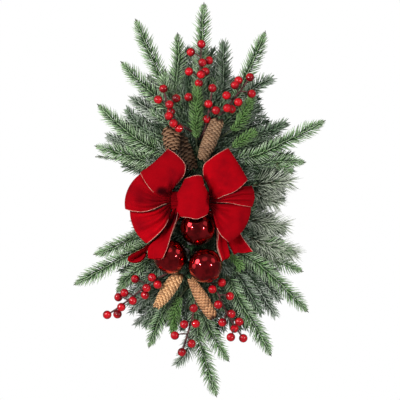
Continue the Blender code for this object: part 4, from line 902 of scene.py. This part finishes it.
# The last berry stands on the end of the stem, and the others on stalks that leave it a little lower.
def makeBerryPicks(mats):
    size = berrySize
    for number, (name, pick) in enumerate(berryPicks.items()):
        rng = np.random.default_rng(seeds["berries"] + number)
        build = Build()
        stem = stalkRoute(pick["root"], pick["route"], size["step"])
        knobs = 1 + size["uneven"] * rng.standard_normal(len(stem)).clip(-1, 1.5)
        addTube(build, stem, size["stem"] * knobs, 8, 1)
        for spot in pick["berries"] + [pick["route"][-1]]:
            berry = np.array(spot, float)
            nearest = int(np.linalg.norm(stem - berry, axis=1).argmin())
            start = stem[max(6, nearest - round(size["leanBack"] / size["step"]))]
            heading = unit(berry - start)
            if spot != pick["route"][-1]:
                middle = pick.get("behind", {}).get(spot, (start + berry) / 2 + size["stalkBow"])
                addTube(build, smoothRoute([start, middle, berry], size["step"]), size["stalk"], 6, 1)
            addBerry(build, berry, heading, rng)
        build.piece(name + "_lacquered", [mats["berry"], mats["pick"]], "berry_red", [name])


# Cones

# scales is how many a cone has; each is long and wide by those, and stands off by open degrees; tied is the
# end that the wire holds
cones = {
    "cone_upper_left": {
        "base": (-43, -45, 109), "tip": (-40, -58, 75), "radius": 12.5, "taper": 0.02, "tied": "base",
        "root": (-4, -14, 112), "finish": "coneLit", "spindle": 0.42, "scales": 46, "long": 12.0,
        "wide": 11.5, "open": 29.0},
    "cone_upper_middle": {
        "base": (-33, -25, 97), "tip": (-8, -33, 46), "radius": 12.0, "taper": 0.30, "tied": "tip",
        "root": (-4, -14, 54), "finish": "coneDarkInShade", "spindle": 0.42, "scales": 72, "long": 11.5,
        "wide": 10.5, "open": 30.0},
    "cone_upper_right": {
        "base": (28.5, -48, 119.5), "tip": (4, -46, 58), "radius": 12.3, "taper": -0.16, "tied": "base",
        "root": (3, -14, 108), "finish": "coneUpper", "spindle": 0.42, "scales": 140, "long": 8.6,
        "wide": 8.8, "open": 22.0},
    "cone_lower_left": {
        "base": (-29, -42, -111), "tip": (-64, -50, -161), "radius": 13.9, "taper": 0.12, "tied": "base",
        "root": (-4, -14, -104), "finish": "coneLower", "spindle": 0.66, "scales": 112, "long": 9.6,
        "wide": 9.0, "open": 15.0},
    "cone_lower_right": {
        "base": (21, -50, -176), "tip": (-14, -42, -117), "radius": 12.6, "taper": 0.12, "tied": "tip",
        "root": (0, -14, -120), "finish": "coneOrange", "spindle": 0.62, "scales": 150, "long": 8.0,
        "wide": 7.8, "open": 15.0},
}
# core is a share of the cone's radius; grip is how far the wire runs into the cone, as a share of its length
coneScale = {"thick": 1.3, "core": 0.66, "coreRings": 16, "coreSides": 20, "turn": 137.5, "turnUneven": 0.06,
             "rows": 5, "columns": 6, "footOpen": 14, "wire": 1.0, "grip": 0.12, "clear": 0.6}


# The radius of a cone's outline at a share of its length.
def coneBelly(cone, share):
    rounded = math.sin(math.pi * (0.10 + 0.84 * share)) ** cone["spindle"]
    return cone["radius"] * rounded * (1 - cone["taper"] * share)


# One cupped scale that leaves the core at a share of the cone's length.
def addConeScale(build, cone, share, turn, base, axis, ways, rng):
    size = coneScale
    ahead, side, up = ways
    out = circle(turn, side, up)
    lean = math.radians(cone["open"] * rng.uniform(0.8, 1.2) + size["footOpen"] * (1 - share) ** 2)
    grow = cone["long"] * (1.06 - 0.30 * share) * rng.uniform(0.94, 1.05)
    belly = coneBelly(cone, share)
    half = cone["wide"] / 2 * (belly / cone["radius"]) ** 0.7
    root = base + axis * (share * 0.97 - 0.05) + out * (belly * size["core"] * 0.92)
    run = circle(lean, ahead, out)
    lift = unit(out - run * out.dot(run))
    t = np.linspace(0, 1, size["rows"])[:, None]
    w = np.linspace(-1, 1, size["columns"])
    # widest near its rounded lip, and cupped across and along
    wide = half * (0.50 + 0.95 * t - 0.62 * t ** 4) * w
    forward = grow * t - 0.24 * grow * w * w * t ** 2
    raised = 0.9 * np.sin(np.pi * t * 0.9) - 0.42 * half * w * w * (0.4 + 0.6 * t) + 0.5 * t ** 6
    top = root + sum(amount[..., None] * way for amount, way in
                     ((forward, run), (wide, np.cross(ahead, out)), (raised, lift)))
    under = top - lift * size["thick"] * (0.6 + 0.4 * t[..., None])
    along = np.repeat(t, size["columns"])
    addPlate(build, top, under, along=np.append(along, along * 0.5), shade=rng.random())


def makeCones(mats):
    size = coneScale
    for number, (name, cone) in enumerate(cones.items()):
        rng = np.random.default_rng(seeds["cones"] + number)
        build = Build()
        base, tip = np.array(cone["base"], float), np.array(cone["tip"], float)
        ways = [way[0] for way in framesAlong(np.array([base, tip]))]
        profile = [(s, size["core"] * coneBelly(cone, s)) for s in np.linspace(0, 1, size["coreRings"])]
        addLathe(build, base, tip, profile, size["coreSides"], along=0.0, shade=1.0)
        for k in range(cone["scales"]):
            turn = k * math.radians(size["turn"]) + rng.uniform(-size["turnUneven"], size["turnUneven"])
            addConeScale(build, cone, (k + 0.5) / cone["scales"], turn, base, tip - base, ways, rng)
        end, other = (base, tip) if cone["tied"] == "base" else (tip, base)
        inside = end + (other - end) * size["grip"]
        outside = end - (inside - end) * size["clear"]
        addTube(build, stalkRoute(cone["root"], [outside, inside], 3.0), size["wire"], 8, 1)
        build.piece(name + "_scaled", [mats[cone["finish"]], mats["wire"]], "cone_brown", [name])


# Balls

balls = {
    "upper": {"centre": (-2, -61, -43), "capTo": (-0.38, 0.62, -0.69)},
    "left": {"centre": (-43, -57, -85), "capTo": (0.80, 0.55, 0.24)},
    "right": {"centre": (9.5, -67, -98), "capTo": (-0.52, 0.78, 0.36)},
}
# capLevels are (share of the cap's height, share of its radius); the crimps are at the lowest
ballSize = {"radius": 25.6, "neck": 4.0, "neckRise": 1.2, "cap": 5.0, "capHeight": 5.0, "ring": 2.4,
            "ringRise": 1.8, "ringWire": 0.55, "wire": 1.4, "crimps": 20, "crimp": 0.05, "rings": 49,
            "sides": 72, "capSides": 60, "capGap": 0.2,
            "capLevels": ((0.0, 1.12), (0.10, 1.08), (0.16, 0.98), (0.8, 0.95), (0.94, 0.86), (1.0, 0.70))}
ballWire = {"root": (-3, -14, -72), "trunk": [(-8, -22, -72), (-13, -31, -73)]}


def makeBall(name, centre, out, mats):
    radius, neck = ballSize["radius"], ballSize["neck"]
    build = Build()
    angles = np.linspace(0, math.pi - math.asin(neck / radius), ballSize["rings"])
    profile = [((1 - math.cos(a)) / 2, radius * math.sin(a)) for a in angles]
    rise = 1 + ballSize["neckRise"] / (2 * radius)
    profile += [(rise, neck), (rise, 0.0)]
    addLathe(build, centre - out * radius, centre + out * radius, profile, ballSize["sides"])
    build.piece(f"ball_{name}_mirror", [mats["ball"]], "ball_red", [f"ball_{name}"])


def makeBallCap(name, centre, out, mats):
    size = ballSize
    build = Build()
    foot = centre + out * (size["radius"] + size["neckRise"] + size["capGap"])
    top = foot + out * size["capHeight"]
    side, up = (way[0] for way in framesAlong(np.array([foot, top]))[1:])
    turns = fullTurn(size["capSides"])
    rows = []
    for share, wide in size["capLevels"]:
        crimp = 1 + size["crimp"] * np.cos(turns * size["crimps"]) * (share < 0.12)
        rows.append(foot + out * size["capHeight"] * share
                    + circle(turns, side, up) * (size["cap"] * wide * crimp)[:, None])
    addRings(build, np.array(rows), [foot, top])
    ring = circle(np.linspace(0, 2 * np.pi, 33), out, up) * size["ring"]
    addTube(build, top + out * size["ringRise"] + ring, size["ringWire"])
    build.piece(f"ball_cap_{name}_bright", [mats["cap"]], "cap_silver", [f"ball_cap_{name}"])


def makeBalls(mats):
    size = ballSize
    wire = Build()
    trunk = stalkRoute(ballWire["root"], ballWire["trunk"], 2.0)
    addTwist(wire, trunk, size["wire"])
    reach = size["radius"] + size["neckRise"] + size["capHeight"] + size["ringRise"] + size["ring"] + 0.5
    for name, ball in balls.items():
        centre, out = np.array(ball["centre"], float), unit(np.array(ball["capTo"], float))
        makeBall(name, centre, out, mats)
        makeBallCap(name, centre, out, mats)
        hook = centre + out * reach
        addTwist(wire, smoothRoute([trunk[-3], hook + out * 4, hook], 1.5), size["wire"] * 0.8)
    wire.piece("ball_wire_twisted", [mats["wire"]], "green_wire", ["ball_wire"])


# Bow

bowShape = {"gather": -52.0, "depth": -72.0, "puff": 26.0, "tuckedPuff": 13.0, "tiedGap": 1.3, "thick": 0.7,
            "edge": 0.42, "keptWidth": 55.0, "deepest": 4.6, "centreHalf": 14.0, "centreFoot": 8.0,
            "centreRise": 24.0, "foldBack": 0.88, "softDeep": 1.5, "softFolds": 1.3, "foldSharp": 14}
bowTie = {"left": -41.5, "right": 14.9, "middle": -1.5, "deep": 8.0, "tall": 13.5, "tiedAt": -12.0,
          "tiedLength": 12.0, "drawnIn": 0.25, "folds": 11, "foldDeep": 0.22, "wire": 2.0}
# The loops' edges are (x, z). A tucked loop is flatter along edgeA, and under is the share there that is
# painted dark as another loop's shadow. open is how bright the pile is painted, as painted shade.
# hemFrom is where the wired edges come out of the pile, in mm from the tie. Dark places are painted
# shadows, as (x, z, inner, outer): all dark up to inner mm, and none from outer mm.
plainLoop = {"tucked": True, "under": 0.0}
bowLoops = {
    "bow_loop_upper_left": {
        "edgeA": [(-42, 8), (-39, 16), (-31, 25), (-22, 37), (-21, 52), (-33, 66), (-46, 75)],
        "edgeB": [(-42, 3), (-54, 5), (-67, 11), (-78, 24), (-87, 40)],
        "tucked": False, "bulge": -2, "folds": 3.0, "phase": 0.4, "open": 0.62, "hemFrom": (14, 26),
        "dark": [(-57, 12, 3, 9), (-51, 12, 3, 8), (-45, 8, 3, 8), (-37, 7, -1, 5)]},
    "bow_loop_left": {
        "edgeA": [(-42, 4), (-54, 6), (-64, 14), (-74, 26), (-86, 38)],
        "edgeB": [(-42, -3.5), (-54, -8), (-67, -14), (-82, -18), (-98, -17), (-109, -14)],
        "bulge": 8.5, "folds": 3.5, "phase": 1.2, "open": 0.72, "hemFrom": (200, 6),
        "dark": [(-68, -1, -9, 16), (-86, 1, -12, 12), (-42, -4, -4, 8)]},
    "bow_loop_lower_left": {
        "edgeA": [(-42, -5), (-54, -10.5), (-67, -16), (-82, -17), (-102, -16)],
        "edgeB": [(-42, -10), (-45, -28), (-53, -43), (-67, -57), (-77, -65)],
        "bulge": 7, "folds": 3.0, "phase": 2.1, "open": 1.0, "under": 0.10, "hemFrom": (200, 18),
        "dark": [(-45, -20, 0, 13), (-42, -8, 0, 12)]},
    "bow_loop_upper_right": {
        "edgeA": [(15.4, 8), (14, 20), (7, 34), (7, 50), (16, 59), (27, 67), (43, 76)],
        "edgeB": [(15.4, 3), (26, 1), (38, 6), (51, 11), (62, 19), (72, 29)],
        "tucked": False, "bulge": 1, "folds": 2.5, "phase": 0.0, "open": 0.84, "hemFrom": (28, 12),
        "dark": [(9, 33, 0, 5), (11.5, 27, 1.5, 5.5), (12.5, 20, 3, 6.5), (14, 12, 4, 8.5), (16, 4, 5, 11)]},
    "bow_loop_right": {
        "edgeA": [(15.4, 1.5), (26, 0.5), (38, 7), (51, 13), (62, 18), (78, 20)],
        "edgeB": [(15.4, -3.5), (26, -4), (45, -5), (60, -8), (78, -11)],
        "bulge": 4, "folds": 3.0, "phase": -0.9, "open": 0.80, "under": 0.55, "hemFrom": (200, 7),
        "dark": [(16, 0, 8, 20)]},
    "bow_loop_lower_right": {
        "edgeA": [(15.4, -5), (26, -6.5), (38, -7), (50, -5), (62, -6), (76.5, -10)],
        "edgeB": [(15.4, -10), (20, -18), (23, -30), (27, -43), (33, -53), (44, -63)],
        "bulge": 9, "folds": 2.5, "phase": 1.6, "open": 0.70, "hemFrom": (200, 33),
        "dark": [(16, -12, 8, 15)]},
}
# foldAt is the edge that the ribbon is folded towards, lengthwise at foldShare of its width
# open and dark are the pile's painted shade and painted shadows, as for the loops
plainRibbon = {"foldAt": None, "foldShare": 0.5, "foldGap": 4.0, "wire": "wireEdge", "short": 0.0,
               "dark": ()}
ribbons = {
    "bow_loop_centre": {
        "edgeA": [(-14, -57.8, 4), (-17, -67, 16), (-20, -79, 25), (-20.5, -88, 30), (-12, -93, 33.5),
                  (-3, -94, 35.5), (4.5, -89, 34), (4, -79, 25), (-1, -67, 15), (-5, -57.8, 4)],
        "edgeB": [(-14, -57.8, -10), (-18, -67, -14), (-24, -79, -20), (-27, -88, -25), (-15, -93, -26.5),
                  (-3, -94, -28.5), (12, -90, -22), (10, -79, -18), (1, -67, -14), (-5, -57.8, -10)],
        "folds": 2.0, "deepest": 1.5, "phase": 0.3, "open": 0.70, "bulge": (8.0, 3.0)},
    "bow_tail_left": {
        "edgeA": [(-38, -52, -13.9), (-46, -54, -34), (-58, -68, -54), (-74, -80, -70), (-75, -86, -86)],
        "edgeB": [(-30, -52, -13.9), (-32, -60, -30), (-40, -74, -50), (-46, -84, -70), (-53, -90, -87)],
        "folds": 2.0, "deepest": 1.6, "phase": 1.0, "foldAt": "edgeA", "open": 0.80,
        "dark": [(-62, -55, -1, 5), (-54, -48, 0, 6), (-47, -40, 1, 8), (-41, -33, 2, 9),
                 (-35, -25, 3, 10)]},
    "bow_tail_left_curl": {
        "edgeA": [(-26, -52, -14.3), (-44, -46, -40), (-64, -52, -60), (-78, -66, -72), (-90, -74, -78),
                  (-100, -78, -83), (-105.5, -79, -88.5), (-101, -79, -92.5), (-93, -78, -92.5),
                  (-85, -76, -89), (-79.5, -74, -82.5)],
        "edgeB": [(-22, -52, -14.3), (-40, -38, -42), (-64, -36, -62), (-79, -38, -79.5), (-88, -40, -86.0),
                  (-95, -42, -88.0), (-98, -43, -87.2), (-95.5, -43, -86.0), (-90, -42, -83.0),
                  (-84, -41, -79.6), (-80, -40, -77.4)],
        "folds": 1.5, "deepest": 0.8, "phase": 0.0, "foldAt": "edgeB", "foldGap": 2.6,
        "open": 0.95, "wire": "velvet"},
    "bow_tail_right_inner": {
        "edgeA": [(9, -52, -15.6), (14, -48, -19), (24, -46, -27), (27, -53, -39), (28, -62, -56),
                  (27, -76, -70), (33, -84, -89)],
        "edgeB": [(13, -52, -15.6), (19, -45, -18), (30, -42, -24), (36, -46, -42), (41, -50, -62),
                  (44, -60, -74), (46, -70, -84)],
        "folds": 3.0, "deepest": 1.8, "phase": 0.6, "foldAt": "edgeB", "open": 0.85},
    "bow_tail_right_outer": {
        "edgeA": [(1, -52, -15.5), (5, -45, -20), (20, -37, -33), (35, -37, -50), (44, -44, -66),
                  (52, -57, -80)],
        "edgeB": [(5, -52, -15.5), (12, -41, -20), (34, -32, -27), (56, -40, -42), (66, -50, -58),
                  (80, -57, -78)],
        "folds": 2.5, "deepest": 1.8, "phase": 2.0, "foldAt": "edgeA", "open": 0.85, "short": 5.0},
}


# A closed strip of velvet round a grid of points, and the wired edges along its two sides.
# shade is the pile's painted shade: 0 where it is painted dark as shadow, and 1 where it is painted fully
# lit.
# The wired edges come out of the pile hemFrom mm from the start of the strip.
def ribbonPiece(name, grid, mats, shade, away=None, hemFrom=(0, 0), wire="wireEdge"):
    normal = unit(np.cross(np.gradient(grid, axis=1), np.gradient(grid, axis=0)))
    lift = normal * bowShape["thick"] / 2
    build = Build()
    addPlate(build, grid + lift, grid - lift, shade=np.tile(shade.ravel(), 2))
    cloth = build.piece(name + "_velvet", [mats["velvet"]], "velvet_red", [name])
    build = Build()
    for j, start in zip((0, -1), hemFrom):
        line = grid[:, j] if away is None else grid[away[:, j] >= start, j]
        if len(line) > 2:
            addTube(build, smoothRoute(line, 1.5), bowShape["edge"])
    hem = build.piece(name + "_wired_edge", [mats[wire]], "velvet_red")


# Paints shadows on the pile: the shade falls to 0 within inner mm of each dark place.
def darkened(shade, grid, places):
    for x, z, inner, outer in places:
        shade = shade * np.interp(np.hypot(grid[..., 0] - x, grid[..., 2] - z), (inner, outer), (0.0, 1.0))
    return shade


# How deep the folds are that take up a ribbon's width where it is drawn in to less.
def foldDepth(width, folds, most):
    spare = np.clip((bowShape["keptWidth"] / width) ** 2 - 1, 0, None)
    return np.minimum(width / (2 * np.pi * folds) * np.sqrt(2 * spare), most)


# Out from the tie in the back layer, round the end, and back in the front layer.
def makeLoop(name, given, mats):
    loop = {**plainLoop, **given}
    steps, columns, fine = 64, 33, 200
    turn = np.linspace(0, 2, steps + 1)[:, None]
    layer = np.where(turn < 1, -1.0, 1.0)
    v = np.where(turn < 1, turn, 2 - turn)
    reach = np.sin(np.pi * v / 2)
    w = np.linspace(0, 1, columns)[None, :]
    share = w[..., None]
    routes = ([(x, 0, z) for x, z in loop[key]] for key in ("edgeA", "edgeB"))
    edges = [resample(smoothRoute(route, 1.0), fine + 1) for route in routes]
    at = np.clip(fine * reach[:, 0], 0, fine - 0.001)
    low, part = at.astype(int), (at % 1)[:, None]
    a, b = ((e[low] * (1 - part) + e[low + 1] * part)[:, None] for e in edges)
    width = np.linalg.norm(a - b, axis=2)
    flat = a * (1 - share) + b * share
    start = edges[0][0] * (1 - share) + edges[1][0] * share
    flat = flat + unit(flat - start) * (loop["bulge"] * 4 * w * (1 - w) * reach ** 2)[..., None]
    settle = smoothStep(np.clip(reach / 0.45, 0, 1))
    depth = bowShape["gather"] + (bowShape["depth"] - bowShape["gather"]) * settle
    near = bowShape["tuckedPuff"] if loop["tucked"] else bowShape["puff"]
    puff = near + (bowShape["puff"] - near) * w
    half = puff / 2 * np.sin(np.pi * v) + bowShape["tiedGap"] * np.cos(np.pi * v / 2)
    # pleats run out from the tie and open up, and broad soft folds lie further out
    deep = foldDepth(width, loop["folds"], bowShape["deepest"])
    pleat = deep * np.sin(2 * np.pi * loop["folds"] * w + loop["phase"])
    soft = np.sin(np.pi * v) * np.sin(2 * np.pi * bowShape["softFolds"] * w + loop["phase"] * 2)
    soft = bowShape["softDeep"] * soft * np.sin(np.pi * w)
    grid = flat.copy()
    grid[..., 1] = depth + layer * half + pleat + soft * layer
    away = np.linalg.norm(flat - start, axis=2)
    # painted shade: open over the whole loop, a painted shadow of another loop along edgeA by under, and
    # painted shadows at the dark places
    under = loop["under"]
    shade = loop["open"] * np.interp(w, (0.0, max(under, 0.01)), (0.25 if under else 1.0, 1.0))
    shade = darkened(np.broadcast_to(shade, grid.shape[:2]), grid, loop["dark"])
    ribbonPiece(name, grid, mats, shade, away, loop["hemFrom"])


# Where a ribbon's points lie across it and behind it when the far side is folded under; w runs across.
def foldedAcross(w, share):
    bent = np.pi * (0.5 + 0.5 * np.tanh((w - share) * bowShape["foldSharp"]))
    across = np.cumsum(np.cos(bent), axis=1)
    across[:, 0] = 0.0
    across = across / across.max()
    across = np.where(w > share, 1 - (1 - across) * bowShape["foldBack"], across)
    return across, -(1 - np.cos(bent)) / 2 - 0.25 * np.sin(np.pi * w) * (w > share)


# A ribbon between two edges, with flutes along it.
def makeRibbon(name, given, mats):
    ribbon = {**plainRibbon, **given}
    steps, columns = 60, 33
    v = np.linspace(0, 1, steps + 1)[:, None]
    w = np.linspace(0, 1, columns)[None, :, None]
    routes = (ribbon["edgeA"], ribbon["edgeB"])
    first, second = (resample(smoothRoute(route, 1.0), steps + 1)[:, None] for route in routes)
    flat = first * (1 - w) + second * w
    normal = unit(np.cross(np.gradient(flat, axis=0), np.gradient(flat, axis=1)))
    if ribbon["foldAt"] == "edgeA":
        first, second, normal = second, first, normal[:, ::-1]
    width = np.linalg.norm(first - second, axis=2)
    across, behind = foldedAcross(w, ribbon["foldShare"]) if ribbon["foldAt"] else (w, 0 * w)
    # the flutes are shallow at the tied end or ends
    ease = np.sin(np.pi * v) ** 0.7 if "bulge" in ribbon else np.clip(v / 0.55, 0, 1)
    most = bowShape["deepest"] + (ribbon["deepest"] - bowShape["deepest"]) * smoothStep(ease)
    flute = np.sin(2 * np.pi * ribbon["folds"] * w[..., 0] + ribbon["phase"])
    flute = flute * foldDepth(width, ribbon["folds"], most)
    grid = first * (1 - across) + second * across
    # the folded half stops short of the visible end
    hidden = 0.5 + 0.5 * np.tanh((w - ribbon["foldShare"] - 0.08) * bowShape["foldSharp"])
    grid = grid - unit(np.gradient(grid, axis=0)) * hidden * v[..., None] ** 8 * ribbon["short"]
    settle = np.clip(v * 5, 0.2, 1)[..., None]
    grid = grid + normal * (behind * ribbon["foldGap"] * settle + flute[..., None])
    if "bulge" in ribbon:
        to = ((grid[..., 0] - (first + second)[..., 0].mean() / 2) / bowShape["centreHalf"]).clip(-1, 1)
        foot = bowShape["gather"] - bowShape["centreFoot"]
        out = ((foot - grid[..., 1]) / bowShape["centreRise"]).clip(0, 1)
        grid[..., 0] += np.where(to < 0, *ribbon["bulge"]) * to * out * 4 * w[..., 0] * (1 - w[..., 0])
    # painted shade: open over the whole ribbon and painted shadows at the dark places
    shade = darkened(np.full(grid.shape[:2], ribbon["open"]), grid, ribbon["dark"])
    ribbonPiece(name, grid, mats, shade, wire=ribbon["wire"])


# The bunched ribbon between the loops, drawn in under the centre loop by the tie wire.
def makeBowTie(mats):
    look = bowTie
    x = np.linspace(look["left"], look["right"], 48)[:, None]
    turns = fullTurn(96)
    drawn = np.exp(-((x - look["tiedAt"]) / look["tiedLength"]) ** 2)
    folds = 0.5 + 0.5 * np.cos(turns * look["folds"] + 0.6 * np.sin(x * 0.15))
    size = (1 - look["drawnIn"] * drawn) * (1 - look["foldDeep"] * folds)
    y = bowShape["gather"] + look["deep"] * size * np.cos(turns)
    z = look["middle"] + look["tall"] * size * np.sin(turns)
    build = Build()
    # no shade mark is given, so the velvet of the tie is painted half dark, as painted shade under the loops
    addRings(build, np.stack([x + 0 * y, y, z], axis=-1),
             [(look[end], bowShape["gather"], look["middle"]) for end in ("left", "right")])
    addTwist(build, [(0, -14, look["middle"]), (0, -22, look["middle"]), (-2, -47, look["middle"])],
             look["wire"], mat=1)
    build.piece("bow_tie_bunched", [mats["velvet"], mats["wire"]], "velvet_red", ["bow_tie"])


def makeBow(mats):
    makeBowTie(mats)
    for name, loop in bowLoops.items():
        makeLoop(name, loop, mats)
    for name, ribbon in ribbons.items():
        makeRibbon(name, ribbon, mats)


# Stem, hanging loop and floor

stemShape = {"halfHeight": 135.0, "halfWidth": 9.0, "depth": 14.0, "wrap": 9.0, "square": 0.6, "lap": 0.035,
             "lumps": 7, "lumpDeep": 0.02}
hangLoop = {"radius": 12.0, "wire": 1.1, "depth": -4.0, "gap": 0.2}


# A bundle with a flat back, wrapped in overlapping tape.
def makeStem(mats):
    size = stemShape
    middle = -size["depth"] / 2
    z = np.linspace(-size["halfHeight"], size["halfHeight"], 150)[:, None]
    turns = fullTurn(40)
    x, y = (np.sign(c) * np.abs(c) ** size["square"] for c in (np.cos(turns), np.sin(turns)))
    lap = (z / size["wrap"] + turns / (2 * np.pi)) % 1.0
    lumps = 0.5 + 0.5 * np.cos(turns * size["lumps"] + z * 0.05)
    lift = 1 - size["lap"] * lap - size["lumpDeep"] * lumps
    y = np.clip(middle - middle * y * lift, None, 0)
    build = Build()
    addRings(build, np.stack([x * size["halfWidth"] * lift, y, z + 0 * y], axis=-1),
             [(0, middle, z[0, 0]), (0, middle, z[-1, 0])])
    build.piece("wrapped_stem_taped", [mats["tape"]], "stem_tape", ["wrapped_stem"])


def makeHangLoop(mats):
    size = hangLoop
    build = Build()
    height = stemShape["halfHeight"] + size["radius"] + size["wire"] + size["gap"]
    centre = np.array([0, size["depth"], height])
    ring = circle(np.linspace(0, 2 * np.pi, 60), np.array([0, 0, -1.0]), np.array([1.0, 0, 0]))
    addTwist(build, centre + ring * size["radius"], size["wire"])
    build.piece("hanging_loop_twisted", [mats["wire"]], "green_wire", ["hanging_loop"])


def makeFloor(look):
    half = look["half"]
    mesh = bpy.data.meshes.new("floor")
    corners = ((-half, -half), (half, -half), (half, half), (-half, half))
    mesh.from_pydata([mm((x, y, look["height"])) for x, y in corners], [], [(0, 1, 2, 3)])
    mat, tree, shader = newMaterial("floor")
    feed(tree, shader, Base_Color=look["colour"], Roughness=look["roughness"])
    mesh.materials.append(mat)
    ob = addObject("floor", mesh)
    ob.visible_glossy = False


bpy.context.scene.view_settings.view_transform = "Standard"
makeCamera(cameraLook)
makeLights()
makeWorld(worldLook)
makeFloor(floorLook)
materials = makeMaterials()
print("materials made")
makeBow(materials)
makeBalls(materials)
print("bow and balls made")
makeStem(materials)
makeHangLoop(materials)
makeCones(materials)
makeBerryPicks(materials)
print("cones and berries made")
makeBranches(materials)
makeInnerGreens(materials)
print("sprays made")
